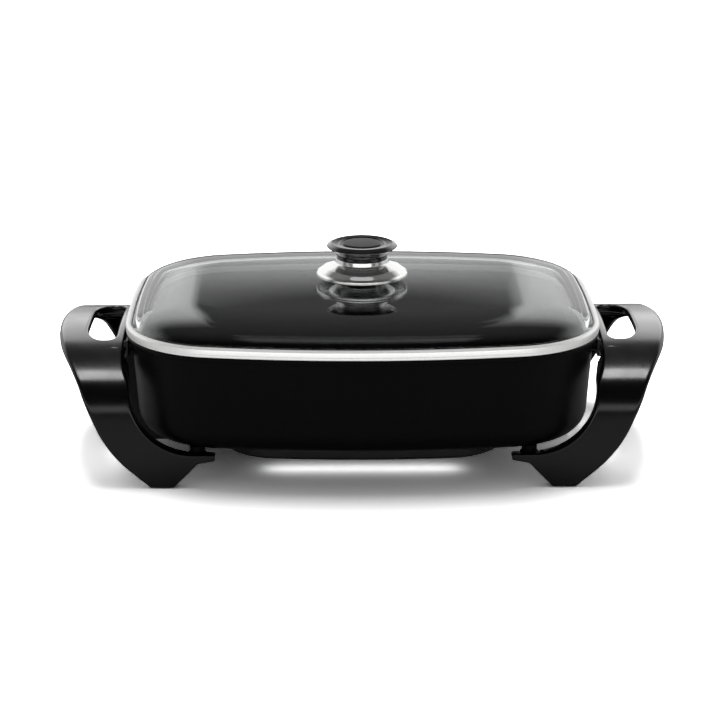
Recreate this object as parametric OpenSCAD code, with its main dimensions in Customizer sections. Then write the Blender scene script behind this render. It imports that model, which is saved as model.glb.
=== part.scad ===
// Electric skillet: deep oblong pan on two moulded handle-and-leg arches, with a
// lift-off glass lid. Millimetres, +Z up, origin on the table under the pan's centre,
// +X towards the right handle. The control probe plugs in under the left handle.

/* [Pan] */
// Half length of the lid and pan outline, at the middle of the short side
half_len = 209; // [200:1:230]
// Half width of the outline, at the middle of the long side
half_wid = 157; // [150:1:175]
// Corner radius of the outline
corner_r = 88; // [84:1:100]
// Half angle that the bow of a long side turns through
long_bow_a = 9.5; // [6:0.5:12]
// Half angle that the bow of a short side turns through
short_bow_a = 2.5; // [1:0.5:5]
// Height of the pan's lip above the table
lip_z = 125; // [124:1:136]
// Depth of the pan outside, lip to underside
pan_depth = 89.5; // [80:0.5:92]
// Wall and floor thickness of the casting
pan_wall = 4.5; // [3:0.1:6]
// Outward step of the lip from the wall
lip_step = 4.1; // [2:0.1:6]
// Thickness of the lip
lip_t = 4; // [2.5:0.1:6]
// Draft of the wall in degrees
pan_draft = 3.8; // [1:0.1:6]
// Outside radius between wall and floor
pan_bottom_r = 26; // [18:1:30]

/* [Lid] */
// Height of the steel rim above the lip
rim_h = 8.6; // [8:0.1:12]
// Sheet thickness of the rim
rim_t = 0.9; // [0.6:0.1:1.2]
// Glass thickness
glass_t = 4; // [3:0.1:5]
// Rise of the glass from the rim to the crown
dome_rise = 20; // [16:0.5:30]
// Depth of the skirt that drops inside the pan
skirt_h = 4; // [2:0.5:8]

/* [Knob] */
// Radius of the knob's top
knob_r = 31.6; // [29:0.1:34]
// Height of the knob, neck to top
knob_h = 33; // [30:0.5:38]
// Radius of the polished shield dish
shield_r = 40.9; // [37:0.1:48]
// Rise of the dish from its middle to its edge
shield_rise = 5; // [3:0.5:8]
// Radius of the plate under the glass
plate_r = 30; // [24:1:36]
// Radius of the knob screw
knob_screw_r = 3; // [2:0.1:4]

/* [Handles] */
// Height of the grip's crown above the table
grip_z = 118; // [114:0.5:118]
// Width of the grip bar outside the finger hole
grip_w = 27; // [22:0.5:30]
// Plan radius of the grip's outer edge
grip_plan_r = 280; // [240:1:400]
// Skin thickness of the moulding
skin_t = 3; // [2:0.1:4]
// Depth of the moulding's side flanges
flange_t = 12; // [10:0.5:14]
// Half length of the finger hole, front to back
hole_half_y = 53; // [40:1:54]
// Width of the finger hole
hole_w = 26.8; // [26:0.1:29]
// Width of the strip between the finger hole and the pan
strip_w = 7.3; // [7:0.1:9]
// Corner radius of the finger hole
hole_corner_r = 13; // [6:0.5:13]
// Width of a foot
foot_w = 20; // [16:0.5:24]
// How far a foot's middle stands inside the end of the rim
foot_in = 35.6; // [32:0.1:39]

/* [Heater] */
// How far the heater cover's ends lie inside the outline
cover_in_x = 83; // [77:1:90]
// How far the heater cover's sides lie inside the outline
cover_in_y = 47; // [44:1:54]
// Depth of the heater cover below the pan
cover_h = 16; // [14:0.5:17]
// Sheet thickness of the cover
cover_t = 1; // [0.6:0.1:1.5]
// Radius of the heating tube
tube_r = 4; // [3:0.1:4.5]
// Radius of a terminal pin
pin_r = 2.4; // [1.8:0.1:2.8]
// Half spacing of the terminal pins
pin_y = 14; // [13:0.5:17]
// Bore radius of the probe well
well_r = 3.7; // [3:0.1:4.5]

/* [Fits] */
// Running gap between the lid and the pan
lid_gap = 0.3; // [0.2:0.05:0.6]
// Gap round a pin or screw in its hole
hole_gap = 0.3; // [0.2:0.05:0.5]
// Gap between the pan and the mouldings beside it
pan_gap = 1.4; // [1:0.1:2]

/* [Hidden] */
bow_fn = 180;
eps = 0.01;

// ---- pan values
outline = [half_len, half_wid, corner_r, long_bow_a, short_bow_a];
pan_under = lip_z - pan_depth;
lip_in = 1;
wall_in = lip_in + lip_step;
wall_top = lip_z - lip_t;
turn_z = pan_under + pan_bottom_r;
turn_in = wall_in + (wall_top - turn_z) * tan(pan_draft) + pan_bottom_r / cos(pan_draft);
lip_inner = wall_in + pan_wall;
inner_r = pan_bottom_r - pan_wall;
floor_strip = 16;                      // flat rim of the floor that is swept with the wall

// ---- lid values
rim_z = lip_z + lid_gap;
rim_top = lip_z + rim_h;
bead_r = 3.2;
rim_cover = 4.6;                       // reach of the rim over the glass
rim_step = 0.5;                        // how far the lower band lies inside the bead
step_z = rim_z + 2.3;
skirt_in = lip_inner + 1.6;
glass_in = bead_r + 0.2;
glass_top = rim_top - rim_t;
glass_low = glass_top - glass_t;
crown_in = corner_r - 18;
crown_z = glass_top + dome_rise;
dome_steps = 9;

// ---- knob values, stacked upwards and downwards from the crown of the glass
washer_t = 1.2;
washer_r = 14;
plate_t = 1;
plate_drop = 8;
plate_top = crown_z - glass_t - washer_t;
shield_z = crown_z + washer_t;
shield_t = 1;
neck_r = 22.5;
knob_z = shield_z + shield_t;
knob_top = knob_z + knob_h;
bore_r = knob_screw_r + hole_gap;
cap_r = 16.5;
cap_t = 1.6;
cap_sink = 2;
cap_gap = 0.1;
insert_r = 6;
insert_h = 14;

// ---- handle values; the arch is a chain of tangent arcs, crown to foot
arch_r = [330, 140, 46];
arch_a = [9.5, 28, 84];
hole_x0 = half_len + pan_gap + strip_w;
hole_x1 = hole_x0 + hole_w;
grip_x = hole_x1 + grip_w;
foot_x = half_len - foot_in;
collar_t = 3;
collar_h = 7;
flange_r = 59;                         // inner edge of the leg, sweeping under the pan
flange_cx = half_len + pan_gap - flange_r;
toe_z = pan_under - 5.5;
flange_cz = toe_z + flange_r;
toe_x = foot_x - 45.4;
toe_t = 5.2;
tip_z = grip_z - 9.5;
tip_a = 18;
lean_a = 66.3;
splay_a = 40;
knee_r = 100;
knee_z = 16.7;
foot_block = 8;
pad_t = 4;
pad_show = 0.8;
pad_len = foot_w - 6;
pad_wid = flange_t - 5;
leg_arc = arch_arcs()[3];
leg_half_y = leg_arc[0][0] + leg_arc[1];   // outer face of a leg at the foot

// ---- fixings
leg_boss = [foot_x - 29.4, leg_half_y - 12.6];
leg_boss_r = 6.75;
ear_r = 8;
ear_low = toe_z - toe_t - 1;
bracket_y = 64;
bracket_w = 16;
bracket_t = 1.5;
bracket_x = half_len - 3.5;
shelf_z = grip_z - 14;
shelf_end = half_len + 15;
lug_z = shelf_z + 8;
lug_r = 6;
stud_x = half_len + 8.5;
screw_r = 2;
head_r = 4;
head_t = 2.4;
cover_boss_r = 5;

// ---- heater and inlet values
cover_half_len = half_len - cover_in_x;
cover_half_wid = half_wid - cover_in_y;
cover_outline = [cover_half_len, cover_half_wid, 50, 6, 4];
cover_z = pan_under - cover_h;
tube_z = pan_under - tube_r;
loop_x = cover_half_len - 26;
loop_y = cover_half_wid - 26;
loop_r = 45;
cover_boss = [loop_x - 28, loop_y - 54];
lead_r = 15;
lead_end = 59 - half_len;
well_z = pan_under - 7.5;
well_boss_r = 7;
well_mouth = 37 - half_len;
well_end = 109 - half_len;
spring_t = 0.9;
pin_tip = 4 - half_len;
block_x = 25 - half_len;
block_t = 10;
block_half_y = 24;
inlet_x = -half_len - 6;
inlet_back = 51 - half_len;
inlet_half_y = 44;
inlet_top = grip_z - flange_t - 5;
inlet_low = pan_under - 18.5;
inlet_t = 2.5;
inlet_boss = [43 - half_len, 34];
mouth_half_y = 30;
mouth_h = 26;

// ---------------------------------------------------------------- plan outline

// Outline o: half length, half width, corner radius and the bows' half angles.
// Bow radii less the corner radius, so that all arcs meet tangentially
function bows(o) =
    let (u = o[0] - o[2], v = o[1] - o[2], a = sin(o[3]), b = 1 - cos(o[4]),
         c = 1 - cos(o[3]), d = sin(o[4]), det = a * d - b * c)
    [(u * d - b * v) / det, (a * v - u * c) / det];
function corner_at(o) = let (k = bows(o)) [k[0] * sin(o[3]), k[1] * sin(o[4])];
function polar(r, a) = r * [cos(a), sin(a)];
function facets(r) = r > 200 ? bow_fn : r > 40 ? 72 : 36;

// Moves by whole millimetres, then by thousandths, then by the rest
module place(v) {
    whole = [for (x = v) round(x)];
    part = [for (x = v - whole) round(x * 1000) / 1000];
    translate(whole) translate(part) translate(v - whole - part) children();
}

// Sweeps a section round the outline; x = 0 of the section lies on the outline.
// Small keys inside the section, at [inset, height] and of the given size, tie the arcs
module round_outline(o, key_at, key_size) {
    k = bows(o);
    c = corner_at(o);
    for (turn = [0, 180]) rotate(turn) {
        place([0, o[1] - o[2] - k[0], 0])
            rotate_extrude(angle = 2 * o[3], start = 90 - o[3], $fn = bow_fn)
                place([k[0] + o[2], 0]) children();
        place([o[0] - o[2] - k[1], 0, 0])
            rotate_extrude(angle = 2 * o[4], start = -o[4], $fn = bow_fn)
                place([k[1] + o[2], 0]) children();
        for (side = [0, 1]) mirror([side, 0, 0]) place([c[0], c[1], 0])
            rotate_extrude(angle = 90 - o[3] - o[4], start = o[4], $fn = 60)
                translate([o[2], 0]) children();
        for (side = [0, 1], a = [o[4], 90 - o[3]]) mirror([side, 0, 0])
            translate([c[0], c[1], 0]) rotate(a) translate([o[2] - key_at[0], 0, key_at[1]])
                cube([key_size[0], 3, key_size[1]], center = true);
    }
}

// Eight-sided area whose corners lie on the outline drawn in by inset
module plan_area(o, inset) {
    c = corner_at(o);
    p = c + polar(o[2] - inset, o[4]);
    q = c + polar(o[2] - inset, 90 - o[3]);
    polygon([p, q, [-q[0], q[1]], [-p[0], p[1]], -p, -q, [q[0], -q[1]], [p[0], -p[1]]]);
}

// Part of a disc beyond its chord from angle a0 to a1, with a strip inside the chord
module disc_segment(c, r, a0, a1) {
    n = polar(1, (a0 + a1) / 2);
    p = c + polar(r, a0);
    q = c + polar(r, a1);
    out = r * (1 - cos((a1 - a0) / 2)) + 2;
    intersection() {
        translate(c) circle(r, $fn = facets(r));
        polygon([p - n, p + out * n, q + out * n, q - n]);
    }
}

module at_corners(p) {
    for (sx = [-1, 1], sy = [-1, 1]) translate([sx * p[0], sy * p[1], 0]) children();
}

// Pan-head screw that enters upwards; its head hangs below z = 0
module screw_up(length, r = screw_r, head = head_r) {
    cylinder(h = length, r = r, $fn = 20);
    translate([0, 0, -head_t]) cylinder(h = head_t, r1 = head * 0.8, r2 = head, $fn = 32);
}

module hole_up(z, depth, r = screw_r + hole_gap) {
    translate([0, 0, z - eps]) cylinder(h = depth + eps, r = r, $fn = 20);
}

// ---------------------------------------------------------------- pan

// Outside of the wall and its bottom radius, filled to the start of the floor
module wall_solid() {
    c = [-turn_in, turn_z];
    polygon([c + [0, -pan_bottom_r], c + polar(pan_bottom_r, -pan_draft), [-wall_in, wall_top],
             [-lip_in - 1.2, wall_top], [-lip_in, wall_top + 1.2], [-lip_in, lip_z - 1],
             [-lip_in - 1, lip_z], [-turn_in - floor_strip, lip_z],
             [-turn_in - floor_strip, pan_under]]);
    disc_segment(c, pan_bottom_r, -90, -pan_draft);
}

module wall_hollow() {
    c = [-turn_in, turn_z];
    far = -turn_in - floor_strip - 1;
    polygon([[far, turn_z - inner_r], c + [0, -inner_r], c + polar(inner_r, -pan_draft),
             [-lip_inner, wall_top], [-lip_inner, lip_z - 1.5], [-lip_inner + 1.5, lip_z],
             [-lip_inner + 1.5, lip_z + 1], [far, lip_z + 1]]);
    disc_segment(c, inner_r, -90, -pan_draft);
}

module pan_body() {
    well_len = well_end - well_mouth;
    color("#1b1b1c") difference() {
        union() {
            round_outline(outline, [turn_in, pan_under + pan_wall / 2], [6, pan_wall / 2]) difference() {
                wall_solid();
                wall_hollow();
            }
            translate([0, 0, pan_under]) linear_extrude(pan_wall) plan_area(outline, turn_in + 1);
            at_corners(leg_boss) translate([0, 0, toe_z])
                cylinder(h = pan_under + pan_wall - 0.5 - toe_z, r = leg_boss_r, $fn = 36);
            at_corners(cover_boss) translate([0, 0, cover_z + cover_t])
                cylinder(h = cover_h - cover_t + 1, r = cover_boss_r, $fn = 32);
            // probe well, cast along the underside
            translate([well_mouth, 0, well_z]) rotate([0, 90, 0])
                cylinder(h = well_len, r = well_boss_r, $fn = 36);
            translate([well_mouth, -well_boss_r, well_z])
                cube([well_len, 2 * well_boss_r, pan_under - well_z + 1]);
            for (side = [-1, 1])
                translate([inlet_boss[0], side * inlet_boss[1], inlet_low + inlet_t])
                    cylinder(h = pan_under + 1 - inlet_low - inlet_t, r = 5, $fn = 32);
            // lugs for the handle brackets
            for (turn = [0, 180], side = [-1, 1]) rotate(turn)
                translate([bracket_x - 7.5, side * bracket_y, lug_z]) rotate([0, 90, 0])
                    cylinder(h = 7.5, r = lug_r, $fn = 32);
        }
        at_corners(leg_boss) hole_up(toe_z, 7);
        at_corners(cover_boss) hole_up(cover_z, 12);
        translate([well_mouth - eps, 0, well_z]) rotate([0, 90, 0])
            cylinder(h = well_len - 4, r = well_r, $fn = 32);
        for (side = [-1, 1])
            translate([inlet_boss[0], side * inlet_boss[1], 0]) hole_up(inlet_low, 14);
        for (turn = [0, 180], side = [-1, 1]) rotate(turn)
            translate([bracket_x - 5.5, side * bracket_y, lug_z]) rotate([0, 90, 0])
                cylinder(h = 6, r = screw_r + hole_gap, $fn = 20);
    }
}

// ---------------------------------------------------------------- heater

module tube_bend(c, r, start) {
    translate([c[0], c[1], tube_z]) rotate_extrude(angle = 90, start = start, $fn = 40)
        translate([r, 0]) circle(tube_r, $fn = 16);
}

module tube_run(p, q) {
    v = q - p;
    translate([p[0], p[1], tube_z]) rotate([0, 90, atan2(v[1], v[0])])
        cylinder(h = norm(v), r = tube_r, $fn = 16);
}

module heating_element() {
    near = loop_y - loop_r;
    color("#8d8a84") for (side = [0, 1]) mirror([0, side, 0]) {
        tube_run([lead_end, pin_y], [-loop_x - lead_r, pin_y]);
        tube_bend([-loop_x - lead_r, pin_y + lead_r], lead_r, -90);
        tube_run([-loop_x, pin_y + lead_r], [-loop_x, near]);
        tube_bend([-loop_x + loop_r, near], loop_r, 90);
        tube_run([-loop_x + loop_r, loop_y], [loop_x - loop_r, loop_y]);
        tube_bend([loop_x - loop_r, near], loop_r, 0);
        tube_run([loop_x, near], [loop_x, 0]);
    }
}

// Steel straps that press the tube against the casting
module element_clamps() {
    strap = 14;
    t = 1.2;
    side_y = tube_r + 0.2;
    low = tube_z - tube_r;
    color("#a9a8a4") for (side = [-1, 1]) translate([0, side * loop_y, 0]) difference() {
        union() {
            translate([-strap / 2, -side_y - t, low - t])
                cube([strap, 2 * (side_y + t), pan_under - low + t]);
            translate([-strap / 2, -tube_r - 12, pan_under - t])
                cube([strap, 2 * (tube_r + 12), t]);
        }
        translate([-strap, -side_y, low]) cube([2 * strap, 2 * side_y, cover_h]);
    }
}

module heater_cover() {
    r = 3;
    t = cover_t;
    mouth_y = pin_y + tube_r + 1.5;
    color("#161616") difference() {
        union() {
            round_outline(cover_outline, [t / 2, pan_under - cover_h / 2], [t / 3, cover_h / 3])
                polygon([[0, pan_under], [0, cover_z + r], [-0.9, cover_z + 0.9], [-r, cover_z],
                         [-17, cover_z], [-17, cover_z + t], [-r, cover_z + t],
                         [-0.9 - 0.7 * t, cover_z + 0.9 + 0.7 * t], [-t, cover_z + r],
                         [-t, pan_under]]);
            translate([0, 0, cover_z]) linear_extrude(t) plan_area(cover_outline, 4);
        }
        // mouth for the probe well and the tube's cold ends
        translate([-cover_half_len - t, -mouth_y, cover_z + t])
            cube([15, 2 * mouth_y, cover_h]);
        at_corners(cover_boss) hole_up(cover_z - 1, 4);
    }
}

module cover_screws() {
    color("#c9c9c6") at_corners(cover_boss) translate([0, 0, cover_z]) screw_up(9);
}

// ---------------------------------------------------------------- control inlet

module terminal_block() {
    low = inlet_low + inlet_t;
    color("#d8d2c4") difference() {
        translate([block_x, -block_half_y, low])
            cube([block_t, 2 * block_half_y, pan_under - 0.3 - low]);
        for (side = [-1, 1]) translate([block_x - 1, side * pin_y, tube_z]) rotate([0, 90, 0])
            cylinder(h = block_t + 2, r = pin_r, $fn = 24);
        translate([block_x - 1, 0, well_z]) rotate([0, 90, 0])
            cylinder(h = block_t + 2, r = well_r + 1.3, $fn = 36);
    }
}

module terminal_pins() {
    body_len = lead_end - pin_tip - pin_r / 2;
    color("#d9d9d6") for (side = [-1, 1]) translate([lead_end, side * pin_y, tube_z])
        rotate([0, -90, 0]) {
            cylinder(h = body_len, r = pin_r, $fn = 24);
            translate([0, 0, body_len]) cylinder(h = pin_r / 2, r1 = pin_r, r2 = pin_r / 2, $fn = 24);
        }
}

// Leaf that earths the control's sheath as it enters the well
module ground_spring() {
    w = 8;
    low = well_z - well_boss_r - spring_t;
    color("#c7b26a") translate([block_x + block_t, -w / 2, low]) {
        cube([26, w, spring_t]);
        cube([spring_t, w, 3.5]);
    }
}

// Space that the pan's side and underside take up beside the inlet, seen from the front
module pan_side_area(gap) {
    c = [turn_in - half_len, turn_z];
    r = pan_bottom_r + gap;
    polygon([c + [0, -r], [0, c[1] - r], [0, lip_z], [wall_in - half_len - gap, lip_z],
             [wall_in - half_len - gap, wall_top], c + polar(r, 180 + pan_draft)]);
    disc_segment(c, r, 180 + pan_draft, 270);
}

module inlet_housing() {
    t = inlet_t;
    color("#151515") difference() {
        translate([0, inlet_half_y, 0]) rotate([90, 0, 0]) linear_extrude(2 * inlet_half_y)
            difference() {
                polygon([[inlet_x, inlet_top], [inlet_x, inlet_low + 4], [inlet_x + 4, inlet_low],
                         [inlet_back, inlet_low], [inlet_back, inlet_top]]);
                pan_side_area(pan_gap);
            }
        // inside of the moulding, open towards the pan
        translate([0, inlet_half_y - t, 0]) rotate([90, 0, 0])
            linear_extrude(2 * (inlet_half_y - t))
                polygon([[inlet_x + t, inlet_top - t], [inlet_x + t, inlet_low + 5],
                         [inlet_x + 5, inlet_low + t], [inlet_back + 9, inlet_low + t],
                         [inlet_back + 9, inlet_top - t]]);
        // mouth that takes the control's plug
        translate([inlet_x - 1, -mouth_half_y, inlet_low + t + 2.5])
            cube([t + 2, 2 * mouth_half_y, mouth_h]);
        for (side = [-1, 1])
            translate([inlet_boss[0], side * inlet_boss[1], 0]) hole_up(inlet_low, 5);
    }
}

module inlet_screws() {
    color("#c9c9c6") for (side = [-1, 1])
        translate([inlet_boss[0], side * inlet_boss[1], inlet_low]) screw_up(12);
}

// ---------------------------------------------------------------- handles

// Centres, radii and end angles of the arch; angles run from straight up
function arch_arcs() =
    let (c1 = [0, grip_z - arch_r[0]],
         c2 = c1 + (arch_r[0] - arch_r[1]) * [sin(arch_a[0]), cos(arch_a[0])],
         c3 = c2 + (arch_r[1] - arch_r[2]) * [sin(arch_a[1]), cos(arch_a[1])],
         leg_r = round(arch_r[2] + c3[1] / cos(arch_a[2])),
         c4 = c3 + (arch_r[2] - leg_r) * [sin(arch_a[2]), cos(arch_a[2])])
    [[c1, arch_r[0], -arch_a[0], arch_a[0]], [c2, arch_r[1], arch_a[0], arch_a[1]],
     [c3, arch_r[2], arch_a[1], arch_a[2]], [c4, leg_r, arch_a[2], 90]];

// One arc of the arch between two depths below its outside, as long as the handle is wide
module arch_arc(k, t0, t1) {
    rotate([90, 0, 90]) place([k[0][0], k[0][1], toe_x - 1])
        rotate_extrude(angle = k[3] - k[2], start = 90 - k[3], $fn = facets(k[1]))
            translate([k[1] - t1, 0]) square([t1 - t0, grip_x - toe_x + 2]);
}

module arch_band(t0, t1) {
    arcs = arch_arcs();
    arch_arc(arcs[0], t0, t1);
    for (i = [1:3], side = [0, 1]) mirror([0, side, 0]) arch_arc(arcs[i], t0, t1);
}

// Bars inside the skin that tie one arc of the arch to the next
module arch_keys() {
    arcs = arch_arcs();
    for (i = [0:2], side = [0, 1]) mirror([0, side, 0]) rotate([90, 0, 90])
        translate([arcs[i][0][0], arcs[i][0][1], toe_x - 1]) rotate(-arcs[i][3])
            translate([-1.5, arcs[i][1] - skin_t * 2 / 3, 0])
                cube([3, skin_t / 3, grip_x - toe_x + 2]);
}

function arc_points(c, r, a0, a1, n) = [for (i = [0:n]) c + polar(r, a0 + i * (a1 - a0) / n)];

// Outer edge of the handle seen from the front, drawn in by t: splayed leg, then the tip
function outer_edge(t) =
    let (start = [foot_x + foot_w / 2 + knee_z / tan(splay_a), knee_z],
         knee_c = start + knee_r * [-sin(splay_a), cos(splay_a)],
         end = knee_c + knee_r * [sin(lean_a), -cos(lean_a)],
         off = (grip_x - end[0]) * sin(lean_a) - (tip_z - end[1]) * cos(lean_a),
         tip_r = off / (1 - cos(lean_a - tip_a)),
         tip_c = [grip_x, tip_z] + tip_r * [sin(tip_a), -cos(tip_a)])
    concat(arc_points(knee_c, knee_r - t, splay_a - 90, lean_a - 90, 8),
           arc_points(tip_c, tip_r + t, lean_a + 90, tip_a + 90, 12));

// Inner edge, drawn in by t, from the top down to the toe
function inner_edge(t, end_a) =
    concat([[flange_cx + flange_r + t, grip_z + 2]],
           arc_points([flange_cx, flange_cz], flange_r + t, 0, end_a, 24));

module wing_area() {
    near = foot_x - foot_w / 2;
    far = foot_x + foot_w / 2;
    polygon(concat([[near + pad_show * 0.9, pad_show], [far + pad_show / tan(splay_a), pad_show]],
                   outer_edge(0), [[grip_x, grip_z + 2]], inner_edge(0, -90),
                   [[toe_x + 1, toe_z], [toe_x, toe_z - 1], [toe_x + 0.6, toe_z - toe_t],
                    [toe_x + 15.4, toe_z - toe_t - 2.8]]));
}

module along_y() {
    translate([0, 130, 0]) rotate([90, 0, 0]) linear_extrude(260) children();
}

module grip_plan(t) {
    translate([grip_x - grip_plan_r, 0, -1]) linear_extrude(grip_z + 3)
        circle(grip_plan_r - t, $fn = 180);
}

// Hollow between the flanges
module hollow_area() {
    t = skin_t;
    x = foot_x - foot_w / 2 - 3;
    edge = outer_edge(t);
    last = edge[len(edge) - 1];
    low = edge[0] - (edge[0][1] - foot_block) * [1 / tan(splay_a), 1];
    polygon(concat([[x, foot_block], low], edge,
                   [last + [8, 8 * tan(tip_a)], [last[0] + 8, grip_z + 2]],
                   inner_edge(t, -acos((x - flange_cx) / (flange_r + t)))));
}

module wing_hollow() {
    intersection() {
        along_y() hollow_area();
        grip_plan(skin_t);
    }
}

module finger_area(out) {
    r = hole_corner_r;
    x = [hole_x0 + r, hole_x1 - r];
    y = hole_half_y - r;
    for (cx = x, cy = [-y, y]) translate([cx, cy]) circle(r + out, $fn = 36);
    translate([x[0], -hole_half_y - out]) square([x[1] - x[0], 2 * (hole_half_y + out)]);
    translate([hole_x0 - out, -y]) square([hole_w + 2 * out, 2 * y]);
}

module handle() {
    color("#0d0d0e") difference() {
        union() {
            intersection() {
                union() {
                    arch_band(0, skin_t);
                    arch_keys();
                    difference() {
                        arch_band(skin_t * 0.3, flange_t);
                        wing_hollow();
                    }
                    intersection() {
                        arch_band(skin_t * 0.45, collar_h);
                        translate([0, 0, shelf_z - 6]) linear_extrude(30) finger_area(collar_t);
                    }
                    // ribs under the shoulders
                    intersection() {
                        arch_band(skin_t * 0.6, flange_t - 1.5);
                        for (side = [-1, 1], y = [79, 95])
                            translate([hole_x0 - 20, side * y - 1, 60]) cube([60, 2, 70]);
                    }
                }
                along_y() wing_area();
                grip_plan(0);
            }
            // ears that take the leg screws, and studs for the bracket screws
            for (side = [-1, 1]) {
                translate([leg_boss[0], side * leg_boss[1], ear_low])
                    cylinder(h = toe_z - ear_low, r = ear_r, $fn = 36);
                translate([stud_x, side * bracket_y, shelf_z])
                    cylinder(h = 5.5, r = 4.5, $fn = 28);
            }
        }
        translate([0, 0, shelf_z - 8]) linear_extrude(40) finger_area(0);
        for (side = [-1, 1]) {
            translate([leg_boss[0], side * leg_boss[1], ear_low - 1]) {
                cylinder(h = toe_z - ear_low + 3, r = screw_r + hole_gap, $fn = 20);
                cylinder(h = 1 + head_t + 0.2, r = head_r + 0.4, $fn = 32);
            }
            translate([stud_x, side * bracket_y, 0]) hole_up(shelf_z, 4.5);
            translate([half_len, side * bracket_y - bracket_w / 2 - 0.4, shelf_z - 20])
                cube([5.5, bracket_w + 0.8, 20]);
            translate([foot_x - pad_len / 2, side * (leg_half_y - 2.5 - pad_wid / 2) - pad_wid / 2, -1])
                cube([pad_len, pad_wid, pad_t + 1]);
        }
    }
}

module left_handle() {
    mirror([1, 0, 0]) handle();
}

module right_handle() {
    handle();
}

module foot_pads() {
    y = leg_half_y - 2.5 - pad_wid / 2;
    color("#3a3a3a") at_corners([foot_x, y])
        translate([-pad_len / 2, -pad_wid / 2, 0]) cube([pad_len, pad_wid, pad_t]);
}

// Steel angle between a lug on the pan and a stud of the handle
module brackets() {
    color("#b4b4b1") for (side = [-1, 1]) difference() {
        translate([bracket_x, side * bracket_y - bracket_w / 2, 0]) {
            translate([0, 0, shelf_z - bracket_t])
                cube([bracket_t, bracket_w, lug_z + lug_r - shelf_z + bracket_t]);
            translate([0, 0, shelf_z - bracket_t])
                cube([shelf_end - bracket_x, bracket_w, bracket_t]);
        }
        translate([stud_x, side * bracket_y, 0]) hole_up(shelf_z - 5, 8);
        translate([bracket_x - 1, side * bracket_y, lug_z]) rotate([0, 90, 0])
            cylinder(h = 4, r = screw_r + hole_gap, $fn = 20);
    }
}

module left_brackets() {
    rotate(180) brackets();
}

module right_brackets() {
    brackets();
}

module bracket_screws() {
    color("#c9c9c6") for (turn = [0, 180], side = [-1, 1]) rotate(turn) {
        translate([stud_x, side * bracket_y, shelf_z - bracket_t]) screw_up(bracket_t + 4);
        translate([bracket_x + bracket_t, side * bracket_y, lug_z]) rotate([0, -90, 0])
            screw_up(bracket_t + 5);
    }
}

module leg_screws() {
    color("#c9c9c6") at_corners(leg_boss)
        translate([0, 0, ear_low + head_t + 0.2]) screw_up(toe_z - ear_low - head_t + 6);
}

// ---------------------------------------------------------------- lid

function bead(r, a0, a1, n) = [for (i = [0:n]) let (a = a0 + i * (a1 - a0) / n)
    [-bead_r + r * cos(a), rim_top - bead_r + r * sin(a)]];

module lid_rim() {
    t = rim_t;
    inner = rim_step + t;
    color("#d6d6d4") round_outline(outline, [rim_step + t / 2, rim_z + 1.4], [t / 3, 1.2])
        polygon(concat([[-rim_step, rim_z], [-rim_step, step_z], [0, step_z + 0.6]],
                       bead(bead_r, 0, 90, 4),
                       [[-rim_cover, rim_top], [-rim_cover, rim_top - t]],
                       bead(bead_r - t, 90, 0, 3),
                       [[-t, step_z + 1], [-inner, step_z + 0.4], [-inner, rim_z + t],
                        [-skirt_in - t, rim_z + t], [-skirt_in - t, rim_z - skirt_h],
                        [-skirt_in, rim_z - skirt_h], [-skirt_in, rim_z]]));
}

module rim_seal() {
    seal_h = glass_low - rim_z - rim_t;
    seal_out = rim_step + rim_t + 0.7;
    color("#6f6f6c")
        round_outline(outline, [skirt_in / 2, glass_low - seal_h / 2], [4, seal_h / 2])
        polygon([[-seal_out, rim_z + rim_t], [-seal_out, glass_low],
                 [-skirt_in, glass_low], [-skirt_in, rim_z + rim_t]]);
}

// Height fraction of the dome, 0 at the rim and 1 at the crown
function dome(s) = pow(1 - pow(1 - s, 2.2), 1 / 2.2);

module lid_glass() {
    n = dome_steps;
    out0 = rim_cover + 0.4;
    in0 = skirt_in;
    top = [for (i = [0:n]) let (s = 1 - cos(90 * i / n))
           [-out0 - s * (crown_in - out0), glass_top + dome_rise * dome(s)]];
    under = [for (i = [n:-1:0]) let (s = 1 - cos(90 * i / n))
             [-in0 - s * (crown_in - in0), glass_low + dome_rise * dome(s)]];
    color("#8fa6a4", 0.35) difference() {
        union() {
            round_outline(outline, [rim_cover, glass_low + glass_t / 2], [3, glass_t / 3])
                polygon(concat([[-glass_in, glass_low], [-glass_in, glass_top]], top,
                               [[2 - corner_r, crown_z], [2 - corner_r, crown_z - glass_t]],
                               under));
            translate([0, 0, crown_z - glass_t]) linear_extrude(glass_t)
                plan_area(outline, crown_in + 1);
        }
        translate([0, 0, crown_z - glass_t - 1]) cylinder(h = glass_t + 2, r = bore_r, $fn = 32);
    }
}

// ---------------------------------------------------------------- knob

module turned(fn = 64) {
    rotate_extrude($fn = fn) children();
}

module lower_plate() {
    t = plate_t;
    z = plate_top - t;
    color("#bdbdbb") turned()
        polygon([[bore_r, z], [washer_r + 3, z], [plate_r - 1.5, z - plate_drop + 1.5],
                 [plate_r - 1.5, z - plate_drop], [plate_r, z - plate_drop],
                 [plate_r, z - plate_drop + 2.2], [washer_r + 3.4, z + t], [bore_r, z + t]]);
}

module ring(r0, r1, z, h, fn = 48) {
    translate([0, 0, z]) rotate_extrude($fn = fn) translate([r0, 0]) square([r1 - r0, h]);
}

module lower_washer() {
    color("#565654") ring(bore_r, washer_r, plate_top, washer_t);
}

module upper_washer() {
    color("#565654") ring(bore_r, washer_r, crown_z, washer_t);
}

module knob_shield() {
    t = shield_t;
    z = shield_z;
    color("#e2e2e0") turned(80)
        polygon([[bore_r, z], [neck_r + 1, z], [shield_r - 5, z + shield_rise - 1.9],
                 [shield_r - 0.6, z + shield_rise - 0.6], [shield_r, z + shield_rise - 0.2],
                 [shield_r - 0.3, z + shield_rise + 0.3], [shield_r - 1, z + shield_rise + 0.3],
                 [shield_r - 5.2, z + t + shield_rise - 1.9], [neck_r + 0.8, z + t],
                 [bore_r, z + t]]);
}

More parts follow.
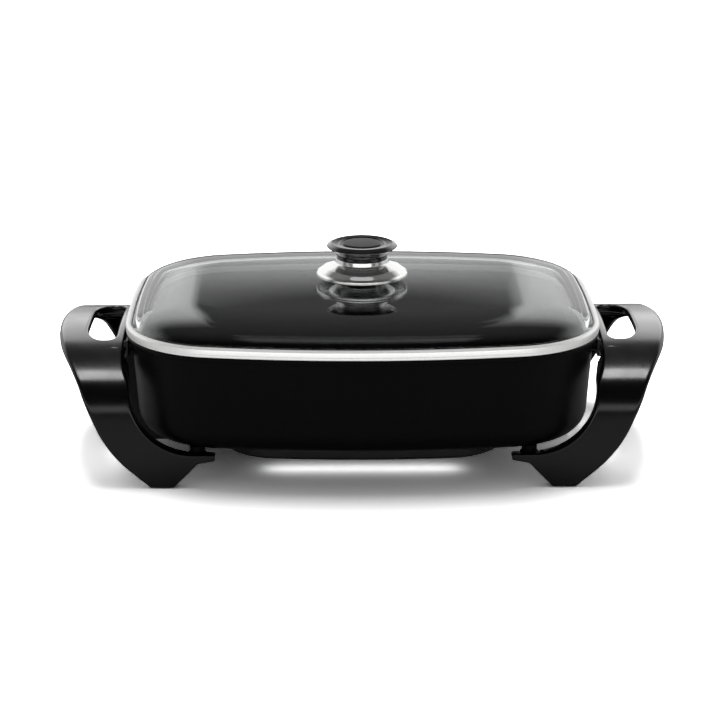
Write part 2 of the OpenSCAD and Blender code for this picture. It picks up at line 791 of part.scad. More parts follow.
module knob() {
    h = knob_h;
    r = knob_r;
    color("#0d0d0e") turned(64) translate([0, knob_z]) difference() {
        polygon([[0, 0], [neck_r, 0], [neck_r - 1, 3], [neck_r - 1.3, h * 0.42],
                 [neck_r - 0.2, h * 0.53], [neck_r + 2.6, h * 0.62], [r - 3.4, h * 0.71],
                 [r - 0.8, h * 0.78], [r, h * 0.84], [r - 0.3, h * 0.92], [r - 1.6, h - 0.6],
                 [r - 3.6, h], [r - 5.2, h - 0.1], [r - 6.2, h - 1], [cap_r + 1.2, h - 1],
                 [cap_r, h - 1.6], [cap_r, h - cap_sink], [0, h - cap_sink]]);
        translate([-1, -1]) square([insert_r + 1, insert_h + 1]);
        translate([-1, insert_h - 1]) square([bore_r + 1, 4]);
    }
}

module knob_cap() {
    color("#101011") translate([0, 0, knob_top - cap_sink])
        cylinder(h = cap_t, r = cap_r - cap_gap, $fn = 64);
}

module knob_insert() {
    color("#c9a957") ring(bore_r, insert_r, knob_z, insert_h, 36);
}

module knob_screw() {
    z = plate_top - plate_t;
    color("#c9c9c6") translate([0, 0, z])
        screw_up(knob_z + insert_h - z + 1, knob_screw_r, knob_screw_r + 3);
}

pan_body();
heating_element();
element_clamps();
heater_cover();
cover_screws();
terminal_block();
terminal_pins();
ground_spring();
inlet_housing();
inlet_screws();
left_handle();
right_handle();
left_brackets();
right_brackets();
bracket_screws();
leg_screws();
foot_pads();
lid_rim();
rim_seal();
lid_glass();
lower_plate();
lower_washer();
upper_washer();
knob_shield();
knob();
knob_cap();
knob_insert();
knob_screw();
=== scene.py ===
import bpy
import bmesh
from math import sin, cos, tan, pi, radians, acos, asin, atan2, hypot
from mathutils import Matrix, Vector
from mathutils.geometry import delaunay_2d_cdt


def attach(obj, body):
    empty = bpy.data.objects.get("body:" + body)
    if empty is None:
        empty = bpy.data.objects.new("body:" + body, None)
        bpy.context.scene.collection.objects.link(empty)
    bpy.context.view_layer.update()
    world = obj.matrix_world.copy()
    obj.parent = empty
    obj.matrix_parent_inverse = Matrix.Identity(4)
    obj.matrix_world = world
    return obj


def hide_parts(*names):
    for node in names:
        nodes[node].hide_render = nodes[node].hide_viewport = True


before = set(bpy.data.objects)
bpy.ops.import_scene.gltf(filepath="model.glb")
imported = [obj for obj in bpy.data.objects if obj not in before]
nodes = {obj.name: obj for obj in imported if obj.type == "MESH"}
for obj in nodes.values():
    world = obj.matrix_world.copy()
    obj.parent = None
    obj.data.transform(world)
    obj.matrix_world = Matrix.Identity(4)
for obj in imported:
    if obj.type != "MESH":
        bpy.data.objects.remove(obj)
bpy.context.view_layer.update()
mm = 0.001
print("stage: frame loaded,", len(nodes), "nodes")


# mesh helpers; all take millimetres, and a part is a pair of vertices and faces

def newMesh(name, part):
    mesh = bpy.data.meshes.new(name)
    mesh.from_pydata([(x * mm, y * mm, z * mm) for x, y, z in part[0]], [], part[1])
    return mesh


def newObject(name, data):
    made = bpy.data.objects.new(name, data)
    bpy.context.scene.collection.objects.link(made)
    return made


def finishObject(name, part, finish, body, slotName, replaced, **limits):
    mesh = newMesh(name, part)
    tidyMesh(mesh, **limits)
    mesh.materials.append(paint[finish])
    adopt(newObject(name, mesh), body, replaced)


def tidyMesh(mesh, merge=0.002, sharpAngle=38, thin=0.001):
    work = bmesh.new()
    work.from_mesh(mesh)
    bmesh.ops.remove_doubles(work, verts=work.verts, dist=merge * mm)
    # slivers that a patch leaves outside its edge
    smallest = 5e-8
    slivers = [f for f in work.faces if f.calc_area() < smallest and any(len(e.link_faces) == 1 for e in f.edges)]
    bmesh.ops.delete(work, geom=slivers, context="FACES")
    if thin:
        bmesh.ops.dissolve_degenerate(work, edges=work.edges, dist=thin * mm)
    bmesh.ops.recalc_face_normals(work, faces=work.faces)
    for face in work.faces:
        face.smooth = True
    for edge in work.edges:
        if len(edge.link_faces) == 2 and edge.calc_face_angle(0) > radians(sharpAngle):
            edge.smooth = False
    work.to_mesh(mesh)
    work.free()


def adopt(piece, body, replaced):
    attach(piece, body)
    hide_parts(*replaced)


def evaluated(piece, change):
    # the mesh that a modifier gives, with the modifier taken off
    result = bpy.data.meshes.new_from_object(piece.evaluated_get(bpy.context.evaluated_depsgraph_get()))
    piece.modifiers.remove(change)
    piece.data = result


def arc(x, y, r, start, sweep, steps):
    # points of an arc in a plane, both ends included; angles in radians
    return [(x + r * cos(start + sweep * k / steps), y + r * sin(start + sweep * k / steps)) for k in range(steps + 1)]


def roundedPath(points, steps=5):
    # each point is (a, b, radius); corners with a radius become arcs
    out = []
    for i, (a, b, radius) in enumerate(points):
        here = Vector((a, b))
        before = Vector(points[i - 1][:2]) - here
        after = Vector(points[(i + 1) % len(points)][:2]) - here
        sharp = radius <= 0 or i in (0, len(points) - 1)
        half = 0 if sharp else before.angle(after) / 2
        if sharp or half > radians(89.5):
            out.append((a, b))
            continue
        reach = min(radius / tan(half), before.length * 0.499, after.length * 0.499)
        r = reach * tan(half)
        middle = here + (before.normalized() + after.normalized()).normalized() * (r / sin(half))
        first = here + before.normalized() * reach
        last = here + after.normalized() * reach
        start = atan2(first.y - middle.y, first.x - middle.x)
        turn = (atan2(last.y - middle.y, last.x - middle.x) - start + pi) % (2 * pi) - pi
        out += arc(middle.x, middle.y, r, start, turn, max(2, round(steps * abs(turn) / (pi / 2))))
    return out


def loftRings(rings, closed=False, capped=False):
    n, count = len(rings[0]), len(rings)
    verts = [v for ring in rings for v in ring]
    pairs = [(i, i + 1) for i in range(count - 1)] + ([(count - 1, 0)] if closed else [])
    faces = [[i * n + k, i * n + (k + 1) % n, j * n + (k + 1) % n, j * n + k] for i, j in pairs for k in range(n)]
    if capped:
        faces += [list(range(n))[::-1], [(count - 1) * n + k for k in range(n)]]
    return verts, faces


def turned(profile, steps, closed=False):
    # profile is (r, z); where r = 0 the ring's points are merged later
    return loftRings([[(x, y, z) for x, y in arc(0, 0, r, 0, 2 * pi, steps)[:-1]] for r, z in profile], closed)


def boredBoss(base, wide, narrow, end, corner, hole, depth, steps):
    # a turned boss from its base to its end, with a blind screw hole in the end
    return turned(roundedPath([
        (0, base, 0), (wide, base, 0), (narrow, end, corner), (hole, end, 0), (hole, depth, 0), (0, depth, 0)]), steps)


def joinParts(parts):
    verts, faces = [], []
    for v, f in parts:
        base = len(verts)
        verts += v
        faces += [[i + base for i in face] for face in f]
    return verts, faces


def moved(part, shift=(0, 0, 0), turn=None):
    verts, faces = part
    if turn:
        verts = [tuple(turn @ Vector(v)) for v in verts]
    return [(x + shift[0], y + shift[1], z + shift[2]) for x, y, z in verts], faces


# outline shared by pan, rim, seal and glass

panSizes = {
    "halfLength": 209, "halfWidth": 157, "corner": 88, "longBow": 9.5, "shortBow": 2.5, "longSteps": 26,
    "shortSteps": 14, "cornerSteps": 30, "lipTop": 125, "wallTop": 121, "under": 35.5, "wall": 4.5, "lipIn": 1,
    "lipStep": 4.1, "draft": 3.8, "bottomRadius": 26}


def outlineStations(size):
    # (centre x, centre y, angle, radius) all the way round; arcs meet tangentially
    u, v = size["halfLength"] - size["corner"], size["halfWidth"] - size["corner"]
    longA, shortA = radians(size["longBow"]), radians(size["shortBow"])
    a, b, c, d = sin(longA), 1 - cos(shortA), 1 - cos(longA), sin(shortA)
    det = a * d - b * c
    longR, shortR = (u * d - b * v) / det, (a * v - u * c) / det
    cx, cy = longR * a, shortR * d
    r, long, short, corner = size["corner"], size["longSteps"], size["shortSteps"], size["cornerSteps"]
    arcs = []
    for side, start in ((1, 0), (-1, pi)):
        square = start + pi / 2
        arcs += [((side * (u - shortR), 0), shortR + r, start - shortA, start + shortA, short),
                 ((side * cx, side * cy), r, start + shortA, square - longA, corner),
                 ((0, side * (v - longR)), longR + r, square - longA, square + longA, long),
                 ((-side * cx, side * cy), r, square + longA, start + pi - shortA, corner)]
    return [(m[0], m[1], a0 + (a1 - a0) * k / n, radius) for m, radius, a0, a1, n in arcs for k in range(n)]


stations = outlineStations(panSizes)


def ringAt(inset, z):
    return [(x + (r - inset) * cos(a), y + (r - inset) * sin(a), z) for x, y, a, r in stations]


def swept(section, closed=True):
    return loftRings([ringAt(d, z) for d, z in section], closed, capped=not closed)


# nodes; a shared shader group gives only varying masks, values and normals

def addNode(tree, kind, **values):
    # adds a node and gives its outputs; a value is a setting, a number, a socket to link, or a list of such sockets
    node = tree.nodes.new(kind if "Node" in kind else "ShaderNode" + kind)
    for key, value in values.items():
        if hasattr(node, key):
            setattr(node, key, value)
            continue
        socket = node.inputs[key.replace("_", " ")]
        if isinstance(value, (list, bpy.types.NodeSocket)):
            for source in value if isinstance(value, list) else [value]:
                tree.links.new(source, socket)
        else:
            socket.default_value = value
    return node.outputs


def doMath(operation, first, second=0.0):
    tree = first.id_data
    node = tree.nodes.new("ShaderNodeMath")
    node.operation = operation
    tree.links.new(first, node.inputs[0])
    if isinstance(second, float):
        node.inputs[1].default_value = second
    else:
        tree.links.new(second, node.inputs[1])
    return node.outputs[0]


def mapRange(source, span, toLow, toHigh):
    return addNode(source.id_data, "MapRange", Value=source, From_Min=span[0], From_Max=span[1],
                   To_Min=toLow, To_Max=toHigh)["Result"]


def newGroup(name, inputs, outputs):
    tree = bpy.data.node_groups.new(name, "ShaderNodeTree")
    for label, value in inputs.items():
        kind = "NodeSocketVector" if isinstance(value, tuple) else "NodeSocketFloat"
        tree.interface.new_socket(label, in_out="INPUT", socket_type=kind).default_value = value
    for label in outputs:
        kind = "NodeSocketVector" if label == "Normal" else "NodeSocketFloat"
        tree.interface.new_socket(label, in_out="OUTPUT", socket_type=kind)
    return tree, tree.nodes.new("NodeGroupInput").outputs, addNode(tree, "TexCoord")["Object"]


def makeGrainGroup():
    # fine sprayed grain: a mask of specks, broad clouds and a bumpy normal
    tree, given, where = newGroup("sprayedGrain", {"Scale": 900.0, "Depth": 0.2}, ("Specks", "Cloud", "Normal"))
    fine = addNode(tree, "TexNoise", Vector=where, Scale=given["Scale"], Detail=2.0, Roughness=0.6)
    cells = addNode(tree, "TexVoronoi", Vector=where, Scale=given["Scale"], Randomness=1.0)
    cloud = addNode(tree, "TexNoise", Vector=where, Scale=14.0, Detail=3.0, Roughness=0.5)
    bump = addNode(tree, "Bump", Strength=given["Depth"], Distance=0.0002, Height=fine["Fac"])
    addNode(tree, "NodeGroupOutput", Specks=mapRange(cells["Distance"], (0.12, 0.3), 1.0, 0.0),
            Cloud=cloud["Fac"], Normal=bump["Normal"])
    return tree


def makeWipeGroup():
    # faint large-scale smears and hairlines, for roughness, and a very shallow mould ripple
    tree, given, where = newGroup("wipeMarks", {"Scale": 30.0, "Ripple": 0.05}, ("Smear", "Fine", "Normal"))
    smear = addNode(tree, "TexNoise", Vector=where, Scale=given["Scale"], Detail=4.0, Roughness=0.6,
                    Distortion=0.6)
    fine = addNode(tree, "TexNoise", Vector=where, Scale=420.0, Detail=3.0)
    ripple = addNode(tree, "TexNoise", Vector=where, Scale=22.0, Detail=1.0)
    bump = addNode(tree, "Bump", Strength=given["Ripple"], Distance=0.0006, Height=ripple["Fac"])
    addNode(tree, "NodeGroupOutput", Smear=smear["Fac"], Fine=fine["Fac"], Normal=bump["Normal"])
    return tree


def makeBrushGroup():
    # grinding lines: noise stretched along one axis
    tree, given, where = newGroup("brushLines", {"Stretch": (40.0, 900.0, 900.0), "Depth": 0.1}, ("Lines", "Normal"))
    mapping = addNode(tree, "Mapping", vector_type="POINT", Vector=where, Scale=given["Stretch"])
    lines = addNode(tree, "TexNoise", Vector=mapping["Vector"], Scale=1.0, Detail=3.0, Roughness=0.6)
    bump = addNode(tree, "Bump", Strength=given["Depth"], Distance=0.0001, Height=lines["Fac"])
    addNode(tree, "NodeGroupOutput", Lines=lines["Fac"], Normal=bump["Normal"])
    return tree


sprayedGrain, wipeMarks, brushLines = makeGrainGroup(), makeWipeGroup(), makeBrushGroup()
paint = {}
usualSpan = (0.3, 0.7)


def makeFinish(name, color, plain, effect, rough=None, shade=None, span=usualSpan, bumped=True):
    # rough is (mask, smoothest, roughest); shade is (mask, dark colour, light colour), over a span of the mask
    material = bpy.data.materials.new(name)
    material.use_nodes = True
    material.diffuse_color = (*color, 1)
    tree = material.node_tree
    shader = tree.nodes["Principled BSDF"].inputs
    shader["Base Color"].default_value = (*color, 1)
    for label, value in plain.items():
        shader[label].default_value = value
    masks = addNode(tree, "Group", node_tree=effect[0], **effect[1])
    if rough:
        tree.links.new(mapRange(masks[rough[0]], usualSpan, *rough[1:]), shader["Roughness"])
    if shade:
        # a colour mix has its factor in socket 0 and its two colours in 6 and 7, and gives the mixed colour in 2
        mix = tree.nodes.new("ShaderNodeMix")
        mix.data_type = "RGBA"
        mix.inputs[6].default_value, mix.inputs[7].default_value = (*shade[1], 1), (*shade[2], 1)
        tree.links.new(mapRange(masks[shade[0]], span, 0.0, 1.0), mix.inputs[0])
        tree.links.new(mix.outputs[2], shader["Base Color"])
    if bumped:
        tree.links.new(masks["Normal"], shader["Normal"])
    paint[name] = material


def grey(value):
    return (value, value, value)


def grain(scale, depth):
    return sprayedGrain, {"Scale": scale, "Depth": depth}


def wipe(scale, ripple):
    return wipeMarks, {"Scale": scale, "Ripple": ripple}


# satin coating of the casting, sprayed with fine specks
makeFinish("panCoating", (0.002, 0.002, 0.0022), {"Specular IOR Level": 0.13}, grain(1100.0, 0.35),
    ("Cloud", 0.36, 0.46), ("Specks", (0.0008, 0.0008, 0.0009), (0.009, 0.009, 0.0095)), (0.55, 1.0))
# glossy plastic of the knob
makeFinish("glossPlastic", (0.003, 0.003, 0.0033), {"IOR": 1.5, "Coat Weight": 0.7, "Coat Roughness": 0.06},
    wipe(26.0, 0.05), ("Smear", 0.07, 0.13), ("Fine", (0.0022, 0.0022, 0.0025), (0.0036, 0.0036, 0.004)))
# moulded plastic of the handles, a little softer in its gloss
makeFinish("handlePlastic", (0.002, 0.002, 0.0022), {"IOR": 1.5, "Roughness": 0.2}, wipe(20.0, 0.04),
    ("Smear", 0.17, 0.25), ("Fine", (0.0014, 0.0014, 0.0016), (0.0026, 0.0026, 0.0028)))
# matt disc let into the knob's top
makeFinish("discPlastic", (0.02, 0.02, 0.021), {"Roughness": 0.4}, grain(1500.0, 0.3), ("Cloud", 0.28, 0.4),
    ("Specks", (0.018, 0.018, 0.019), grey(0.05)))
# satin plastic of the socket's guard
makeFinish("satinPlastic", grey(0.012), {"Roughness": 0.45}, grain(700.0, 0.25), ("Cloud", 0.38, 0.5),
    ("Specks", grey(0.010), grey(0.018)))
# polished sheet of the rim, softer than the shield
makeFinish("rimSteel", (0.92, 0.92, 0.91), {"Metallic": 0.4}, wipe(50.0, 0.03), ("Smear", 0.3, 0.38),
    ("Fine", (0.9, 0.9, 0.89), (0.95, 0.95, 0.94)))
# polished shield
makeFinish("polishedSteel", (0.86, 0.86, 0.85), {"Metallic": 0.88}, wipe(60.0, 0.03), ("Smear", 0.05, 0.12),
    ("Fine", (0.83, 0.83, 0.82), (0.9, 0.9, 0.89)))
# plain stamped steel
makeFinish("stampedSteel", (0.6, 0.6, 0.59), {"Metallic": 1.0}, (brushLines, {"Depth": 0.12}), ("Lines", 0.22, 0.38),
    ("Lines", (0.54, 0.54, 0.53), (0.68, 0.68, 0.67)))
# heat-darkened tube
makeFinish("tubeSteel", (0.3, 0.28, 0.26), {"Metallic": 1.0}, grain(500.0, 0.2), ("Cloud", 0.34, 0.5),
    ("Cloud", (0.22, 0.2, 0.19), (0.4, 0.37, 0.33)), bumped=False)
# stoved paint on the cover; the brackets and their screws get the same near-black as painted shade, for the dark gap
# between pan and handles
makeFinish("coverPaintAndBracketShade", grey(0.012), {"Roughness": 0.35}, grain(600.0, 0.15), ("Cloud", 0.26, 0.36),
    ("Cloud", grey(0.010), grey(0.016)))
# insulator of the terminal block
makeFinish("ceramic", (0.72, 0.69, 0.62), {"Roughness": 0.6}, grain(900.0, 0.2),
    shade=("Cloud", (0.68, 0.65, 0.57), (0.78, 0.75, 0.68)))
makeFinish("springBronze", (0.72, 0.56, 0.3), {"Metallic": 1.0},
    (brushLines, {"Stretch": (60.0, 700.0, 700.0), "Depth": 0.08}), ("Lines", 0.2, 0.34),
    ("Lines", (0.66, 0.5, 0.25), (0.78, 0.62, 0.36)), bumped=False)
makeFinish("padRubber", grey(0.03), {"Roughness": 0.8}, grain(500.0, 0.4), shade=("Cloud", grey(0.022), grey(0.04)))
makeFinish("sealRubber", grey(0.02), {"Roughness": 0.55}, grain(400.0, 0.2),
    shade=("Cloud", grey(0.016), grey(0.026)), bumped=False)
# clear tempered glass
makeFinish("clearGlass", (0.93, 0.95, 0.95), {"Transmission Weight": 1.0, "IOR": 1.5}, wipe(18.0, 0.0),
    ("Smear", 0.0, 0.02), bumped=False)
print("stage: materials made,", len(paint))


panDetail = {
    "lipCorner": 1.3, "wallCorner": 1.4, "lipInside": 1.5, "wallInside": 3, "floorStrip": 16, "screwHole": 2.3,
    "boss": (144.0, 111.95, 6.75, 30), "bossTop": 36, "bossHoleTop": 35, "wellRadius": 7, "wellBore": 3.7,
    "wellZ": 28, "wellMouth": -172, "wellEnd": -100, "wellTop": 36.5, "lugRadius": 6, "lugX": 199.2, "lugEnd": 205.5,
    "lugZ": 112, "lugY": 64, "stud": (-166, 34, 5, 4.6, 19.5), "studTop": 36.5, "studHoleTop": 30}


def makePan():
    p, q = panSizes, panDetail
    slope, cosine = tan(radians(p["draft"])), cos(radians(p["draft"]))
    lip, lipTop, wallTop, under, bottom = p["lipIn"], p["lipTop"], p["wallTop"], p["under"], p["bottomRadius"]
    wallIn = lip + p["lipStep"]
    inner = wallIn + p["wall"]
    floorTop = under + p["wall"]
    middle = wallIn + (wallTop - under - bottom) * slope + bottom / cosine + q["floorStrip"]
    section = roundedPath([
        (middle, floorTop, 0), (inner + (wallTop - floorTop) * slope, floorTop, bottom - p["wall"]),
        (inner, wallTop, q["wallInside"]), (inner, lipTop, q["lipInside"]), (lip, lipTop, q["lipCorner"]),
        (lip, wallTop, q["lipCorner"]), (wallIn, wallTop, q["wallCorner"]),
        (wallIn + (wallTop - under) * slope, under, bottom), (middle, under, 0)], steps=9)
    parts = [swept(section, closed=False)]
    hole = q["screwHole"]
    x, y, wide, low = q["boss"]
    boss = boredBoss(q["bossTop"], wide, wide, low, 0.8, hole, q["bossHoleTop"], 32)
    parts += [moved(boss, (sx * x, sy * y, 0)) for sx in (-1, 1) for sy in (-1, 1)]
    # cast well under the floor, open towards the socket
    r, z, top = q["wellRadius"], q["wellZ"], q["wellTop"]
    well = [(-r, top), *arc(0, z, r, pi, pi, 16), (r, top)]
    bore = arc(0, z, q["wellBore"], 0, 2 * pi, 24)[:-1]
    parts.append(boredBar(well, bore, q["wellMouth"], q["wellEnd"], q["wellEnd"] - 4))
    reach = q["lugEnd"] - q["lugX"]
    lug = boredBoss(0, q["lugRadius"], q["lugRadius"], reach, 0.7, hole, 1, 28)
    for turn in (0, pi):
        for side in (-1, 1):
            part = moved(lug, turn=Matrix.Rotation(pi / 2, 3, "Y"))
            part = moved(part, (q["lugX"], side * q["lugY"], q["lugZ"]))
            parts.append(moved(part, turn=Matrix.Rotation(turn, 3, "Z")))
    x, y, wide, narrow, low = q["stud"]
    stud = boredBoss(q["studTop"], wide, narrow, low, 0.5, hole, q["studHoleTop"], 28)
    parts += [moved(stud, (x, side * y, 0)) for side in (-1, 1)]
    finishObject("panShell", joinParts(parts), "panCoating", "base", "cast_pan", ["pan_body"])


def boredBar(outer, hole, x0, x1, holeEnd):
    # bar along X with a blind hole from its x0 end
    parts = []
    for ring, end in ((outer, x1), (hole, holeEnd)):
        verts, faces = loftRings([[(x, y, z) for y, z in ring] for x in (x0, end)])
        parts.append((verts, faces + [list(range(len(ring), 2 * len(ring)))]))
    points, tris = triangles([outer, hole])
    return joinParts(parts + [([(x0, y, z) for y, z in points], tris)])


def triangles(rings, loose=(), near=1e-5):
    # fills the first ring, leaves the others open and uses the loose points
    edges, base = [], 0
    for ring in rings:
        edges += [(base + k, base + (k + 1) % len(ring)) for k in range(len(ring))]
        base += len(ring)
    flat = [Vector(p) for ring in (*rings, loose) for p in ring]
    points, _, found, _, _, _ = delaunay_2d_cdt(flat, edges, [], 0, near)
    kept = []
    for tri in found:
        c = sum((points[i] for i in tri), Vector((0, 0))) / 3
        if inside(c, rings[0]) and not any(inside(c, ring) for ring in rings[1:]):
            kept.append(list(tri))
    return points, kept


def inside(point, polygon):
    x, y = point[0], point[1]
    hit = False
    for (x0, y0), (x1, y1) in zip(polygon, polygon[1:] + polygon[:1]):
        if (y0 > y) != (y1 > y) and x < (x1 - x0) * (y - y0) / (y1 - y0) + x0:
            hit = not hit
    return hit


makePan()
print("stage: pan made")


lidSizes = {
    "rimLow": 125.3, "rimTop": 133.6, "bead": 3.2, "sheet": 0.9, "cover": 4.6, "skirtIn": 11.2, "stepIn": 0.55,
    "stepHigh": 127.7, "out": 0.07, "skirtLow": 121.3, "glassTop": 132.7, "glass": 4.0, "glassIn": 3.5,
    "crownIn": 70.0, "crownTop": 152.65, "bend": 2.2, "domeRings": 30, "crownRings": 10, "hole": 3.3,
    "crownFall": 2.6, "crownOval": (139, 87), "crownEase": 0.35, "sealIn": 6}


def makeRim():
    s = lidSizes
    t, top, bead, cover, skirt = s["sheet"], s["rimTop"], s["bead"], s["cover"], s["skirtIn"]
    low, high, step, out = s["rimLow"], s["stepHigh"], s["stepIn"], s["out"]
    outer = roundedPath([
        (skirt, s["skirtLow"], 0), (skirt, low, 0.8), (step, low, 1.1), (step, high - 0.1, 0.12),
        (out + 0.15, high + 0.25, 0.5), (out, high + 0.9, 0.5), (out, top, bead), (cover + 0.1, top, 0.5),
        (cover + 0.3, top - t + 0.05, 0)], steps=8)
    inner = roundedPath([
        (cover, top - t, 0), (bead, top - t, 0.6), (t, top - t, bead - t), (t, high + 1, 0.3),
        (step + t, high + 0.4, 0.3), (step + t, low + t, 0.3), (skirt + t, low + t, 0.6),
        (skirt + t, s["skirtLow"], 0)])
    finishObject("rimBand", swept(outer + inner), "rimSteel", "lid", "polished_steel", ["lid_rim"])


def crownFall(x, y):
    # the crown is gently bowed: how far a point lies below its middle
    long, wide = lidSizes["crownOval"]
    across = (x / long) ** 2 + (y / wide) ** 2
    return lidSizes["crownFall"] * across / (1 + lidSizes["crownEase"] * across)


def domeRing(inset, fraction, drop):
    low, bend = lidSizes["glassTop"], lidSizes["bend"]
    height = (1 - (1 - fraction) ** bend) ** (1 / bend)
    high = lidSizes["crownTop"]
    return [(x, y, low - drop + (high - crownFall(x, y) - low) * height) for x, y, _ in ringAt(inset, 0)]


def crownRings(last, drop):
    # from the end of the dome to the hole in the middle
    out, count, hole, high = [], lidSizes["crownRings"], lidSizes["hole"], lidSizes["crownTop"] - drop
    for n in range(1, count + 1):
        scale = [1 + n / count * (hole / hypot(x, y) - 1) for x, y, _ in last]
        out.append([(x * k, y * k, high - crownFall(x * k, y * k)) for (x, y, _), k in zip(last, scale)])
    return out


def makeGlass():
    s = lidSizes
    top, t, edge, crown, start = s["glassTop"], s["glass"], s["glassIn"], s["crownIn"], s["cover"] + 0.4
    steps = [1 - cos(pi / 2 * k / s["domeRings"]) for k in range(s["domeRings"] + 1)]
    rings = [ringAt(edge, top - t + 0.8), ringAt(edge, top - 0.6), ringAt(edge + 0.6, top)]
    rings += [domeRing(start + f * (crown - start), f, 0) for f in steps]
    rings += crownRings(rings[-1], 0)
    under = [ringAt(edge + 0.8, top - t)]
    under += [domeRing(s["skirtIn"] + f * (crown - s["skirtIn"]), f, t) for f in steps]
    under += crownRings(under[-1], t)
    part = loftRings(rings + under[::-1], closed=True)
    finishObject("domeGlass", part, "clearGlass", "lid", "glass", ["lid_glass"], sharpAngle=60)


def makeSeal():
    s = lidSizes
    low, high = s["rimLow"] + s["sheet"] + 0.05, s["glassTop"] - s["glass"] - 0.05
    middle, out, skirt = s["sealIn"], s["sheet"] + 1.4, s["skirtIn"] - 0.1
    section = roundedPath([
        (middle, low, 0), (out, low, 0.4), (out, high, 0.4), (skirt, high, 0.5), (skirt, low, 0.3), (middle, low, 0)],
        steps=2)
    finishObject("sealStrip", swept(section[:-1]), "sealRubber", "lid", "seal_silicone", ["rim_seal"])


makeRim()
makeGlass()
makeSeal()
print("stage: lid made")


knobSizes = {
    "base": 154.9, "top": 187.9, "radius": 31.8, "neck": 22.0, "cap": 17.0, "groove": 20.4, "waist": 23.2,
    "waistLow": 174.2, "widest": 184.9, "insertRadius": 6.0, "insertDepth": 14.0, "bore": 3.3, "shieldZ": 153.9,
    "shieldRadius": 40.9, "shieldRim": 160.2, "shieldSheet": 1.0, "shieldFoot": 24, "rollInner": 38.6,
    "rollInside": 38.9, "collarInner": 22.6, "collarTop": 174.1, "plate": (146.5, 147.5), "plateHub": 17,
    "plateRim": (28.5, 30), "plateEdge": (138.5, 140), "steps": 128}


def makeKnob():
    s = knobSizes
    z, top, r, wide, cap = s["base"], s["top"], s["radius"], s["widest"], s["cap"]
    waist, low, bore, deep, groove = s["waist"], s["waistLow"], s["insertRadius"] + 0.1, s["insertDepth"], s["groove"]
    profile = roundedPath([
        (0, z + deep, 0), (bore, z + deep, 0), (bore, z, 0.3), (s["neck"], z, 0.8), (s["neck"], low, 0),
        (waist - 0.5, low, 0.2), (waist, low + 0.5, 0.4), (waist - 0.2, low + 4.2, 4),
        (waist + 2.2, wide - 4.4, 3), (r - 0.5, wide - 0.8, 0.8), (r, wide, 0.7), (r - 0.4, wide + 1.0, 1.2),
        (r - 4.6, top - 0.1, 1.6), (r - 6.5, top - 0.5, 2), (groove + 0.6, top - 0.7, 0.4),
        (groove, top - 1.8, 0.4), (cap + 0.1, top - 1.8, 0), (0, top - 1.8, 0)], steps=7)
    part = turned(profile, s["steps"])
    finishObject("knobBody", part, "glossPlastic", "lid", "black_plastic", ["knob"], sharpAngle=50)
    cover = roundedPath([
        (0, top - 1.7, 0), (cap - 0.1, top - 1.7, 0), (cap - 0.1, top - 0.45, 0.5), (cap - 2, top - 0.3, 0.6),
        (0, top - 0.1, 0)])
    part = turned(cover, s["steps"])
    finishObject("knobCover", part, "discPlastic", "lid", "black_plastic", ["knob_cap"])


def makeShield():
    s = knobSizes
    z, t, r, rim, foot = s["shieldZ"], s["shieldSheet"], s["shieldRadius"], s["shieldRim"], s["shieldFoot"]
    bore, inner, collar, top = s["bore"], s["collarInner"], s["waist"] + 0.5, s["collarTop"]
    profile = roundedPath([
        (bore, z, 0), (foot, z, 1), (foot, rim + 6, 2), (s["rollInner"], rim - 0.2, 3), (s["rollInside"], rim - 2, 0.5),
        (r, rim - 2.2, 0.8), (r, rim + 0.6, 1.2), (r - 1.6, rim + 2.6, 2.2), (r - 7, rim + 6.0, 8),
        (collar + 1.1, rim + 9.2, 2.5), (collar, rim + 10.4, 0.6), (collar, top, 0.4), (inner, top, 0.2),
        (inner, z + t, 0), (bore, z + t, 0)], steps=9)
    part = turned(profile, s["steps"], closed=True)
    finishObject("shieldDish", part, "polishedSteel", "lid", "polished_steel", ["knob_shield"])
    (low, high), hub, (rimIn, rimOut), (edgeLow, edgeHigh) = s["plate"], s["plateHub"], s["plateRim"], s["plateEdge"]
    plate = roundedPath([
        (bore, low, 0), (hub, low, 2), (rimIn, edgeHigh, 1.5), (rimIn, edgeLow, 0), (rimOut, edgeLow, 0.3),
        (rimOut, edgeHigh + 0.7, 2), (hub + 0.4, high, 2), (bore, high, 0)], steps=6)
    part = turned(plate, s["steps"], closed=True)
    finishObject("plateUnder", part, "stampedSteel", "lid", "steel", ["lower_plate"])


makeKnob()
makeShield()
print("stage: knob made")


# handles: the moulding is drawn in a flat sheet (x, length along the arch) and bent over it

